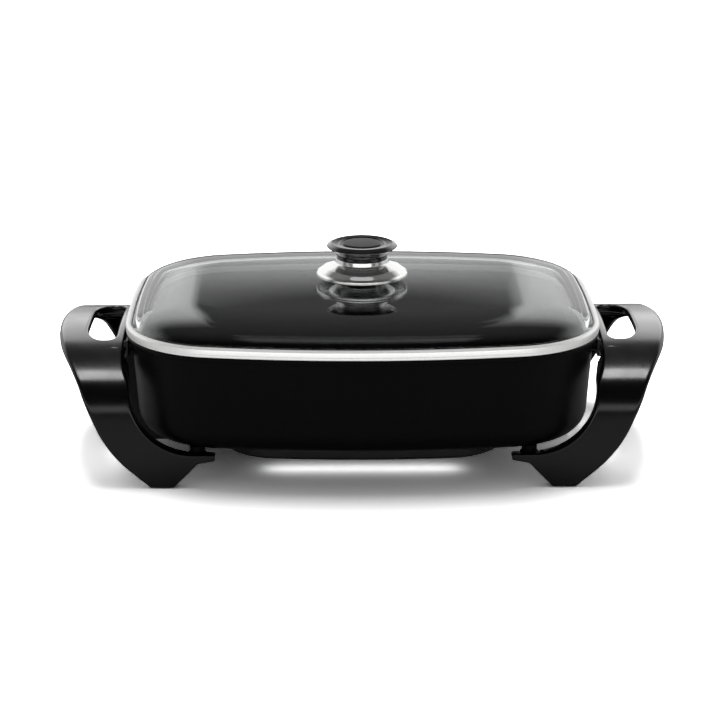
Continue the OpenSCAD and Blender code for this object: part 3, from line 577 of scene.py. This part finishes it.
handleSizes = {
    "crown": 118, "arcRadii": (330, 140, 46), "arcEnds": (9.5, 28, 84), "gripX": 271.5, "planRadius": 280,
    "innerX": 210.4, "innerRadius": 56, "innerMiddle": 146, "innerLevel": 86, "innerStraight": 110,
    "knee": (139.02, 93.3, 100), "splay": 40, "lean": 66.3, "tip": (285.53, 65.32, 45.4), "tipAngle": 18,
    "tipLevel": 108.5, "tipBlend": 6, "edgeReach": 24, "innerReach": 20, "footOut": 203.3, "footOutZ": 16.7,
    "skin": 3.0, "flange": 12.0, "collar": 7.0, "lip": (0.25, 0.8), "gripEdge": 4.5, "legEdge": 3.0, "innerEdge": 2.0,
    "toeEdge": 1.1, "footEdge": 0.6, "gripFade": (80, 105), "footFade": (30, 14), "edgeSteps": 6,
    "holeX": (217.7, 244.5), "holeY": 53, "holeCorners": ((8, 11), (15, 27)), "holeEdge": 2.0, "toeTop": 30,
    "toePath": ((128.2, 30, 2.0), (128.5, 24.8, 1.6), (143.4, 22, 4), (164.1, 0.8, 1.3), (184.4, 0.8, 1.3)),
    "footBlock": 8, "hollowX": 160.4, "ear": (144, 111.95, 8, 23.8, 30), "earHead": 4.4,
    "stud": (217.5, 64, 4.5, 104, 109.5), "screwHole": 2.3, "notch": (205, 214.5, 84, 8.4),
    "pad": (173.4, 118.55, 7, 3.5, 4), "ribs": (79, 95), "ribLow": 10.5, "grid": (8, 4), "ringStep": 4,
    "innerSteps": 30, "outerSteps": 60, "hollowSteps": (9, 6), "tipDeep": (9.5, 10.9)}


def archArcs():
    r1, r2, r3 = handleSizes["arcRadii"]
    a1, a2, a3 = (radians(a) for a in handleSizes["arcEnds"])
    c1 = Vector((0, handleSizes["crown"] - r1))
    c2 = c1 + (r1 - r2) * Vector((sin(a1), cos(a1)))
    c3 = c2 + (r2 - r3) * Vector((sin(a2), cos(a2)))
    r4 = round(r3 + c3.y / cos(a3))
    c4 = c3 + (r3 - r4) * Vector((sin(a3), cos(a3)))
    found, length = [], 0
    for c, r, low, high in ((c1, r1, 0, a1), (c2, r2, a1, a2), (c3, r3, a2, a3), (c4, r4, a3, pi / 2)):
        found.append((c.x, c.y, r, low, length))
        length += r * (high - low)
    return found


arcs = archArcs()


def archAt(s):
    # place (y, z) on the arch and its outward direction
    side = -1 if s < 0 else 1
    cy, cz, r, a0, s0 = [bend for bend in arcs if bend[4] <= abs(s)][-1]
    a = a0 + (abs(s) - s0) / r
    return side * (cy + r * sin(a)), cz + r * cos(a), side * sin(a), cos(a)


def lengthAt(z):
    for _, cz, r, a0, s0 in reversed(arcs):
        a = acos(max(-1, min(1, (z - cz) / r)))
        if a >= a0:
            return s0 + (a - a0) * r
    return 0


def clamped(value):
    return max(0, min(1, value))


def outerEdge(y, z, t=0):
    # the splayed leg and the flared tip seen from the front, cut by the grip's curve seen from above
    h = handleSizes
    kx, kz, kr = h["knee"]
    tx, tz, tr = h["tip"]
    kr, tr = kr - t, tr + t
    splay, lean, tip = radians(h["splay"]), radians(h["lean"]), radians(h["tipAngle"])
    k0, k1 = kz - kr * cos(splay), kz - kr * cos(lean)
    t0, t1 = tz + tr * cos(lean), tz + tr * cos(tip)
    if z < k0:
        wing = kx + kr * sin(splay) - (k0 - z) / tan(splay)
    elif z < k1:
        wing = kx + (kr ** 2 - (kz - z) ** 2) ** 0.5
    elif z < t0:
        wing = kx + kr * sin(lean) + (z - k1) / tan(lean)
    elif z < t1:
        wing = tx - (tr ** 2 - (z - tz) ** 2) ** 0.5
    else:
        wing = tx - tr * sin(tip) + (z - t1) / tan(tip)
    plan = h["gripX"] - h["planRadius"] + ((h["planRadius"] - t) ** 2 - y ** 2) ** 0.5
    # the lesser of the two, eased where they meet
    blend = max(h["tipBlend"] - abs(wing - plan), 0) / h["tipBlend"]
    return min(wing, plan) - blend ** 2 * h["tipBlend"] / 4


def innerSide(z, t=0):
    h = handleSizes
    r = h["innerRadius"] + t
    drop = min(max(h["innerLevel"] - z, 0), r)
    rise = clamped((z - h["innerLevel"]) / (h["innerStraight"] - h["innerLevel"]))
    step = h["innerX"] - h["innerMiddle"] - h["innerRadius"]
    return h["innerMiddle"] + (r ** 2 - drop ** 2) ** 0.5 + step * rise ** 2 * (3 - 2 * rise)


def handlePoint(x, s, depth):
    # the edges follow their own curves as the depth grows; between them x stays
    h = handleSizes
    y, z, ny, nz = archAt(s)
    lowY, lowZ = y - depth * ny, z - depth * nz
    edge, inner = outerEdge(y, z), innerSide(z)
    atEdge = clamped((x - edge + h["edgeReach"]) / h["edgeReach"])
    atInner = clamped((inner + h["innerReach"] - x) / h["innerReach"]) if z > h["toeTop"] + 1 else 0
    shift = atEdge * (outerEdge(lowY, lowZ) - edge) + atInner * (innerSide(lowZ) - inner)
    return x + shift, lowY, lowZ


def innerHalf(t, *more):
    # along the inner side, from the crown to where it starts to curve in
    level, count = lengthAt(handleSizes["innerLevel"]), handleSizes["innerSteps"]
    return [(innerSide(archAt(level * k / count)[1], t), level * k / count, *more) for k in range(count)]


def halfOutline():
    # (x, length, edge radius) from the crown's inner side over toe and foot to the crown's outer side
    h = handleSizes
    out = innerHalf(0, h["innerEdge"])
    for k in range(25):
        z = h["innerLevel"] - h["innerRadius"] * sin(radians(3.75 * k))
        fade = max(0, (k - 14) / 10)
        out.append((innerSide(z), lengthAt(z), h["innerEdge"] + fade * (h["toeEdge"] - h["innerEdge"])))
    footIn = (h["footOut"] - 3, h["footOutZ"] - 3 * tan(radians(h["splay"])), 0)
    toe = roundedPath([(h["innerMiddle"] - 1, h["toeTop"], 0), *h["toePath"], footIn])
    out += [(x, lengthAt(z), h["footEdge"] if z < 12 else h["toeEdge"]) for x, z in toe[1:-1]]
    last, count = lengthAt(h["footOutZ"] - 4), h["outerSteps"]
    for k in range(count):
        s = last * (1 - k / count)
        y, z = archAt(s)[:2]
        # wide at the grip, fine at the foot
        high, low = [clamped((z - a) / (b - a)) for a, b in (h["gripFade"], h["footFade"])]
        radius = h["legEdge"] + high * (h["gripEdge"] - h["legEdge"]) + low * (h["footEdge"] + 0.6 - h["legEdge"])
        out.append((outerEdge(y, z), s, radius))
    out.append((h["gripX"], 0, h["gripEdge"]))
    return out


def mirroredHalf(half, widest):
    # closes half an outline with its mirror image; a point is (x, length along the arch, ...)
    return spread(half + [(p[0], -p[1], *p[2:]) for p in half[-2:0:-1]], widest)


def spread(points, widest):
    # adds points so that no two neighbours lie further apart than the widest step
    out = []
    for p, q in zip(points, points[1:] + points[:1]):
        far = hypot(q[0] - p[0], q[1] - p[1])
        n = max(1, int(far / widest + 0.999))
        out += [tuple(a + (b - a) * k / n for a, b in zip(p, q)) for k in range(n)]
    return out


def evened(values, rounds=6):
    for _ in range(rounds):
        values = [(values[i - 1] + 2 * v + values[(i + 1) % len(values)]) / 4 for i, v in enumerate(values)]
    return values


def insetFrom(points, amounts):
    # moves each point of a closed outline to its inner side
    n = len(points)
    if not isinstance(amounts, list):
        amounts = [amounts] * n
    area = sum(points[i - 1][0] * points[i][1] - points[i][0] * points[i - 1][1] for i in range(n))
    turn = 1 if area > 0 else -1
    out = []
    for i in range(n):
        (x0, y0), (x1, y1) = points[i - 1][:2], points[(i + 1) % n][:2]
        far = hypot(x1 - x0, y1 - y0)
        x, y = points[i][:2]
        out.append((x - turn * (y1 - y0) / far * amounts[i], y + turn * (x1 - x0) / far * amounts[i]))
    return out


def holeOutline():
    h = handleSizes
    (x0, x1), half, (small, large) = h["holeX"], h["holeY"], h["holeCorners"]
    ring = []
    for cx, side, (rx, ry), start in ((x0 + small[0], -1, small, 180), (x1 - large[0], -1, large, 270),
                                      (x1 - large[0], 1, large, 0), (x0 + small[0], 1, small, 90)):
        for k in range(15):
            a = radians(start + 90 * k / 14)
            ring.append((cx + rx * cos(a), side * (half - ry) + ry * sin(a)))
    # from the plan to lengths along the crown's arc
    r = h["arcRadii"][0]
    return spread([(x, r * asin(y / r)) for x, y in ring], h["ringStep"])


def sheetPatch(outer, holes, depth, grid=None):
    # triangles between closed outlines of the flat sheet, bent to one depth
    loose = []
    if grid:
        stepX, stepS = grid
        near = insetFrom(outer, stepS * 0.7)
        around = [insetFrom(ring, -stepS * 0.7) for ring in holes]
        xs, ss = [p[0] for p in outer], [p[1] for p in outer]
        left, low = min(xs), min(ss)
        for i in range(int((max(xs) - left) / stepX) + 1):
            for j in range(int((max(ss) - low) / stepS) + 1):
                # a little off the outline's own lines
                p = (left + i * stepX + 0.37, low + j * stepS + 0.21)
                if inside(p, near) and not any(inside(p, ring) for ring in around):
                    loose.append(p)
    points, kept = triangles([outer] + holes, loose, 1e-6)
    return [handlePoint(x, s, depth) for x, s in points], kept


def bentRings(levels):
    # levels are (outline, depth or depths); each is a closed ring, bent over the arch
    rings = []
    for ring, depths in levels:
        depths = depths if isinstance(depths, list) else [depths] * len(ring)
        rings.append([handlePoint(x, s, depth) for (x, s), depth in zip(ring, depths)])
    return loftRings(rings)


def hollowOutline():
    h = handleSizes
    t = h["skin"]
    half = innerHalf(t)
    r = h["innerRadius"] + t
    end = acos((h["hollowX"] - h["innerMiddle"]) / r)
    half += [(x, lengthAt(z)) for x, z in arc(h["innerMiddle"], h["innerLevel"], r, 0, -end, 22)]
    bottom = lengthAt(h["footBlock"])
    half.append((h["hollowX"], bottom))
    for k in range(h["outerSteps"] + 1):
        s = bottom * (1 - k / h["outerSteps"])
        y, z = archAt(s)[:2]
        half.append((outerEdge(y, z, t), s))
    return mirroredHalf(half, 5)


def moulding():
    h = handleSizes
    skin, flange, collar, r = h["skin"], h["flange"], h["collar"], h["holeEdge"]
    lipFine, lipWide = h["lip"]
    lips = ((0, lipWide), (lipFine, lipFine), (lipWide, 0))
    ring = mirroredHalf(halfOutline(), h["ringStep"])
    outline, edge = [p[:2] for p in ring], evened([p[2] for p in ring])
    # one more ring inside the rounding keeps its shading off the flat part
    levels = [(insetFrom(outline, [e + max(0.2, min(1.2, 0.6 * e - 0.6)) for e in edge]), 0)]
    for k in range(h["edgeSteps"] + 1):
        a = pi / 2 * k / h["edgeSteps"]
        levels.append((insetFrom(outline, [e * (1 - sin(a)) for e in edge]), [e * (1 - cos(a)) for e in edge]))
    # two rings keep the flared tip's level line
    tip = [(archAt(s)[1] - h["tipLevel"]) / max(archAt(s)[3], 0.3) for _, s in outline]
    upper, lower = h["tipDeep"]
    first = [min(max(d - 1.2, e + 0.5), upper) for d, e in zip(tip, edge)]
    levels += [(outline, first), (outline, [min(max(d, f) + 1, lower) for d, f in zip(tip, first)])]
    levels += [(insetFrom(outline, inset), flange - short) for inset, short in lips]
    hollow, hole = hollowOutline(), holeOutline()
    wide = insetFrom(hole, -skin)
    through = [(insetFrom(hole, -r - 1), 0)]
    through += [(insetFrom(hole, -r * (1 - sin(a))), r * (1 - cos(a))) for a in [pi / 2 * k / 5 for k in range(6)]]
    through += [(insetFrom(hole, -out), collar - short) for out, short in lips]
    through += [(wide, collar), (wide, skin)]
    up = (flange, *h["hollowSteps"], skin)
    return joinParts([
        bentRings(levels), sheetPatch(levels[0][0], [through[0][0]], 0, h["grid"]), bentRings(through),
        sheetPatch(levels[-1][0], [hollow], flange), bentRings([(hollow, d) for d in up]),
        sheetPatch(hollow, [wide], skin, h["grid"])])


def looseShape(name, part):
    # closed helper shape for a boolean, with its faces outward
    mesh = newMesh(name, part)
    tidyMesh(mesh, thin=0)
    return newObject(name, mesh)


def block(low, high):
    (x0, y0, z0), (x1, y1, z1) = low, high
    return loftRings([[(x0, y0, z), (x1, y0, z), (x1, y1, z), (x0, y1, z)] for z in (z0, z1)], capped=True)


def handleExtras():
    # what is joined to the moulding, and what is cut out of it
    h = handleSizes
    added, cut = [], []
    ex, ey, er, eLow, eTop = h["ear"]
    sx, sy, sr, sLow, sTop = h["stud"]
    hole, head = h["screwHole"], h["earHead"]
    notchIn, notchOut, notchLow, notchHalf = h["notch"]
    padX, padY, padLong, padWide, padDeep = h["pad"]
    ear = turned(roundedPath([(0, eTop, 0), (er, eTop, 0.6), (er, eLow, 1.0), (0, eLow, 0)], steps=3), 48)
    earCut = turned([
        (0, eLow - 3), (head, eLow - 3), (head, eLow + 2.6), (hole, eLow + 2.6), (hole, eTop + 2), (0, eTop + 2)], 36)
    stud = turned(roundedPath([(0, sTop + 1, 0), (sr, sTop + 1, 0), (sr, sLow, 0.5), (0, sLow, 0)], steps=3), 28)
    studCut = turned([(0, sLow - 2), (hole, sLow - 2), (hole, sLow + 4.5), (0, sLow + 4.5)], 20)
    for side in (-1, 1):
        added += [moved(ear, (ex, side * ey, 0)), moved(stud, (sx, side * sy, 0))]
        cut += [moved(earCut, (ex, side * ey, 0)), moved(studCut, (sx, side * sy, 0)),
                block((notchIn, side * sy - notchHalf, notchLow), (notchOut, side * sy + notchHalf, sLow)),
                block((padX - padLong, side * padY - padWide, -1), (padX + padLong, side * padY + padWide, padDeep))]
    for side in (-1, 1):
        for middle in h["ribs"]:
            rings = []
            for depth in (h["skin"] - 1, h["ribLow"]):
                ring = []
                for outside, y in ((False, -1), (True, -1), (True, 1), (False, 1)):
                    s = lengthForY(middle + y) * side
                    place = archAt(s)[:2]
                    ring.append(handlePoint(outerEdge(*place) - 2 if outside else innerSide(place[1]) + 1, s, depth))
                rings.append(ring)
            added.append(loftRings(rings, capped=True))
    return joinParts(added), joinParts(cut)


def lengthForY(y):
    low, high = 0, 150
    for _ in range(40):
        middle = (low + high) / 2
        if archAt(middle)[0] < y:
            low = middle
        else:
            high = middle
    return low


def combined(base, other, operation):
    change = base.modifiers.new("join", "BOOLEAN")
    change.operation, change.solver, change.object = operation, "MANIFOLD", other
    evaluated(base, change)
    bpy.data.objects.remove(other)


def makeHandles():
    shape = looseShape("mouldingShape", moulding())
    added, cut = handleExtras()
    combined(shape, looseShape("addedShape", added), "UNION")
    combined(shape, looseShape("cutShape", cut), "DIFFERENCE")
    verts = [tuple(v.co / mm) for v in shape.data.vertices]
    faces = [list(f.vertices) for f in shape.data.polygons]
    bpy.data.objects.remove(shape)
    finishObject("rightMoulding", (verts, faces), "handlePlastic", "base", "black_plastic", ["right_handle"], thin=0)
    other = [(-x, y, z) for x, y, z in verts], [f[::-1] for f in faces]
    finishObject("leftMoulding", other, "handlePlastic", "base", "black_plastic", ["left_handle"], thin=0)


makeHandles()
print("stage: handles made")


# screws that enter from below: heads of one size, shanks of three lengths

screwSizes = {
    "Head Wide": 4.0, "Head Narrow": 3.2, "Head High": 2.4, "Shank": 2.0, "Slot Long": 4.6, "Slot Wide": 0.9,
    "Slot Deep": 1.3}
screwSockets = list(screwSizes)
# (x, y, z, length of the shank) of the screws in the legs, the cover and the inlet
screwSizes["places"] = [(144.0, 111.95, 26.4, 9.8), (72.0, 30.0, 19.5, 9.0), (-166.0, 34.0, 17.0, 12.0)]


def screwTree():
    tree = bpy.data.node_groups.new("underScrews", "GeometryNodeTree")
    inputs = [("Places", "Geometry")] + [(name, "Float") for name in screwSockets] + [("Metal", "Material")]
    for name, kind in inputs:
        tree.interface.new_socket(name, in_out="INPUT", socket_type="NodeSocket" + kind)
    tree.interface.new_socket("Screws", in_out="OUTPUT", socket_type="NodeSocketGeometry")
    given = tree.nodes.new("NodeGroupInput").outputs
    head = addNode(tree, "GeometryNodeMeshCone", Vertices=40, Radius_Top=given["Head Wide"],
                   Radius_Bottom=given["Head Narrow"], Depth=given["Head High"])
    bars, deep = [], doMath("MULTIPLY", given["Slot Deep"], 2.0)
    for long, wide in (("Slot Long", "Slot Wide"), ("Slot Wide", "Slot Long")):
        size = addNode(tree, "CombineXYZ", X=given[long], Y=given[wide], Z=deep)
        bars.append(addNode(tree, "GeometryNodeMeshCube", Size=size[0])[0])
    cut = addNode(tree, "GeometryNodeMeshBoolean", operation="DIFFERENCE", solver="EXACT", Mesh_1=head[0], Mesh_2=bars)
    below = addNode(tree, "CombineXYZ", Z=doMath("MULTIPLY", given["Head High"], -1.0))
    lowered = addNode(tree, "GeometryNodeTransform", Geometry=cut[0], Translation=below[0])
    shank = addNode(tree, "GeometryNodeMeshCylinder", Vertices=24, Depth=1.0, Radius=given["Shank"])
    raised = addNode(tree, "GeometryNodeTransform", Geometry=shank[0], Translation=(0, 0, 0.5))
    reach = addNode(tree, "GeometryNodeInputNamedAttribute", Name="reach")
    stretch = addNode(tree, "CombineXYZ", X=1.0, Y=1.0, Z=reach["Attribute"])
    heads = addNode(tree, "GeometryNodeInstanceOnPoints", Points=given["Places"], Instance=lowered[0])
    shanks = addNode(tree, "GeometryNodeInstanceOnPoints", Points=given["Places"], Instance=raised[0], Scale=stretch[0])
    both = addNode(tree, "GeometryNodeJoinGeometry", Geometry=[heads[0], shanks[0]])
    whole = addNode(tree, "GeometryNodeRealizeInstances", Geometry=both[0])
    painted = addNode(tree, "GeometryNodeSetMaterial", Geometry=whole[0], Material=given["Metal"])
    addNode(tree, "NodeGroupOutput", Screws=painted[0])
    return tree


def makeUnderScrews():
    places, reaches = [], []
    for x, y, z, length in screwSizes["places"]:
        sides = (-1, 1) if x > 0 else (-1,)
        for atX, atY in sorted({(side * abs(x), end * y) for side in sides for end in (-1, 1)}):
            places.append((atX, atY, z))
            reaches.append(length * mm)
    mesh = newMesh("underScrews", (places, []))
    mesh.attributes.new("reach", "FLOAT", "POINT").data.foreach_set("value", reaches)
    piece = newObject("underScrews", mesh)
    change = piece.modifiers.new("screws", "NODES")
    change.node_group = screwTree()
    wanted = {name: screwSizes[name] * mm for name in screwSockets}
    wanted["Metal"] = paint["stampedSteel"]
    for item in change.node_group.interface.items_tree:
        if item.in_out == "INPUT" and item.name in wanted:
            change[item.identifier] = wanted[item.name]
    evaluated(piece, change)
    tidyMesh(piece.data, 0.0005, 30, 0)
    adopt(piece, "base", ["leg_screws", "cover_screws", "inlet_screws"])


makeUnderScrews()
print("stage: screws made")


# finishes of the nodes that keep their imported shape

keptFinish = {
    "tubeSteel": ["heating_element"], "ceramic": ["terminal_block"], "satinPlastic": ["inlet_housing"],
    "stampedSteel": ["element_clamps", "terminal_pins", "knob_screw"],
    "springBronze": ["ground_spring", "knob_insert"],
    # the brackets and bracket screws take this near-black as painted shade in the gap beside the pan
    "coverPaintAndBracketShade": ["heater_cover", "left_brackets", "right_brackets", "bracket_screws"], "padRubber": ["foot_pads"],
    "sealRubber": ["lower_washer", "upper_washer"]}

for finish, kept in keptFinish.items():
    for nodeName in kept:
        nodes[nodeName].data.materials.clear()
        nodes[nodeName].data.materials.append(paint[finish])
print("stage: kept nodes finished")


# studio: colours, strengths and angles in degrees; a pair is front and back, or the two ends of a soft edge

studio = {
    "floorColor": 0.82, "floorSeen": 2.1, "floorMirrored": 0.4, "floorThrough": 0.9, "floorHalf": 9000,
    "fill": (0.26, 0.8), "mirror": (0.02, 0.12), "roomTurn": (-0.3, 0.4), "paperMiddle": (10.0, 20.5),
    "paperSide": (30.0, 46.0), "paperSplit": (0.095, 0.135), "backTurn": (-0.15, 0.25), "backBright": 1.15,
    "backMiddle": 0.72, "frontBright": 1.5, "frontBand": (6.0, 22.0), "frontSoft": (0.06, 0.08),
    "frontTurn": (-0.5, -0.1), "lens": 104.95, "sensor": 36, "farthest": 50,
    "camera": (-21.0, -1825.5, 655.6), "target": (-1.8, 0.0, 77.0)}

mouldings = ("rightMoulding", "leftMoulding")

# each lamp: place, aim, size, brightness as a surface, whether mirrors show it, and the only pieces it lights
lamps = [
    # a wide key that only lights
    ("key", (0, 820, 1700), (0, 0, 60), (1100, 900), 5.1444, False, ()),
    # overhead boxes that the gloss shows; the lid's glass stays free of the two at the sides
    ("sideBox", (-398, -20, 1500), (-398, 0, 100), (130, 600), 19.0, True, (*mouldings, "floor")),
    ("sideBox", (398, -20, 1500), (398, 0, 100), (130, 600), 19.0, True, (*mouldings, "floor")),
    ("midBox", (0, -20, 1500), (0, 0, 100), (653, 600), 0.4, True, ()),
    # a white card in front that only the bright metal sees
    ("card", (0, -460, 161), (0, 0, 161), (760, 320), 1.1, True, ("rimBand", "shieldDish")),
    # a high card behind, for the tops of the handles
    ("backCard", (0, 2200, 1150), (0, 0, 150), (3000, 1150), 2.0, True, mouldings),
    # light that comes through under the pan
    ("underGlow", (0, -76, 13), (0, -76, -10), (170, 10), 1.2, False, ())]


def mixShaders(factor, first, second):
    tree = factor.id_data
    mix = tree.nodes.new("ShaderNodeMixShader")
    for socket, source in zip(mix.inputs, (factor, first, second)):
        tree.links.new(source, socket)
    return mix.outputs[0]


def floorMaterial(name):
    # matt paper; the camera sees it white but for the shadow, mirrors see it dim
    material = bpy.data.materials.new(name)
    material.use_nodes = True
    tree = material.node_tree
    tree.nodes.clear()
    path = addNode(tree, "LightPath")
    last = addNode(tree, "BsdfDiffuse", Color=(*grey(studio["floorColor"]), 1))[0]
    for ray, size in (("Is Glossy Ray", "floorMirrored"), ("Is Transmission Ray", "floorThrough"),
                      ("Is Camera Ray", "floorSeen")):
        shade = addNode(tree, "BsdfDiffuse", Color=(*grey(studio[size]), 1))[0]
        last = mixShaders(path[ray], last, shade)
    # seen from below it is clear
    behind = addNode(tree, "NewGeometry")["Backfacing"]
    last = mixShaders(behind, last, addNode(tree, "BsdfTransparent")[0])
    addNode(tree, "OutputMaterial", Surface=last)
    return material


def makeFloor():
    r = studio["floorHalf"]
    mesh = newMesh("floor", ([(-r, -r, 0), (r, -r, 0), (r, r, 0), (-r, r, 0)], [[0, 1, 2, 3]]))
    mesh.materials.append(floorMaterial("floorPaper"))
    newObject("floor", mesh)


def makeStudioWorld():
    s = studio
    world = bpy.data.worlds.new("studioWorld")
    bpy.context.scene.world = world
    world.use_nodes = True
    tree = world.node_tree
    tree.nodes.clear()
    path = addNode(tree, "LightPath")
    x, y, z = addNode(tree, "SeparateXYZ", Vector=addNode(tree, "TexCoord")["Generated"])
    # mirrors see white paper behind the object, lower in the middle, and a dim room elsewhere
    aside = doMath("DIVIDE", doMath("ABSOLUTE", x), doMath("MAXIMUM", doMath("ABSOLUTE", y), 0.001))
    full, none = [mapRange(aside, s["paperSplit"], sin(radians(a)), sin(radians(b)))
                  for a, b in zip(s["paperMiddle"], s["paperSide"])]
    paper = doMath("DIVIDE", doMath("SUBTRACT", none, z), doMath("SUBTRACT", none, full))
    paper = doMath("MINIMUM", doMath("MAXIMUM", paper, 0.0), 1.0)
    paper = doMath("MULTIPLY", paper, mapRange(y, s["backTurn"], 0.0, s["backBright"]))
    paper = doMath("MULTIPLY", paper, mapRange(aside, s["paperSplit"], s["backMiddle"], 1.0))
    room = mapRange(y, s["roomTurn"], *s["mirror"])
    # a low light band behind the camera
    low, high = [sin(radians(a)) for a in s["frontBand"]]
    softLow, softHigh = s["frontSoft"]
    front = doMath("MULTIPLY", mapRange(z, (low, low + softLow), 0.0, s["frontBright"]),
                   mapRange(z, (high - softHigh, high), 1.0, 0.0))
    room = doMath("MAXIMUM", room, doMath("MULTIPLY", front, mapRange(y, s["frontTurn"], 1.0, 0.0)))
    white = (1, 1, 1, 1)
    fill, seen, mirrored = [addNode(tree, "Background", Color=white, Strength=strength)[0] for strength in (
        mapRange(y, s["roomTurn"], *s["fill"]), 1.0, doMath("MAXIMUM", paper, room))]
    # what the glass lets through after a mirror counts as mirrored too
    bounced = doMath("GREATER_THAN", path["Glossy Depth"], 0.5)
    through = doMath("SUBTRACT", path["Is Transmission Ray"], bounced)
    direct = doMath("MAXIMUM", path["Is Camera Ray"], through)
    last = mixShaders(direct, mixShaders(bounced, fill, mirrored), seen)
    addNode(tree, "OutputWorld", Surface=last)


def aimed(holder, place, aim):
    holder.location = Vector(place) * mm
    holder.rotation_euler = (Vector(aim) - Vector(place)).to_track_quat("-Z", "Y").to_euler()


def areaLamp(name, place, aim, size, bright, mirrored, only):
    lamp = bpy.data.lights.new(name, "AREA")
    lamp.shape = "RECTANGLE"
    wide, deep = [side * mm for side in size]
    lamp.size, lamp.size_y, lamp.energy = wide, deep, bright * pi * wide * deep
    holder = newObject(name, lamp)
    aimed(holder, place, aim)
    holder.visible_glossy = holder.visible_transmission = mirrored
    holder.visible_camera = False
    if only:
        group = bpy.data.collections.new(name + "Only")
        for piece in only:
            group.objects.link(bpy.data.objects[piece])
        holder.light_linking.receiver_collection = group


def makeStudio():
    s = studio
    makeFloor()
    makeStudioWorld()
    for lamp in lamps:
        areaLamp(*lamp)
    eye = bpy.data.cameras.new("studioCamera")
    eye.lens, eye.sensor_width, eye.clip_end = s["lens"], s["sensor"], s["farthest"]
    camera = newObject("studioCamera", eye)
    aimed(camera, s["camera"], s["target"])
    bpy.context.scene.camera = camera
    bpy.context.scene.view_settings.view_transform = "Standard"


makeStudio()
print("stage: studio made")
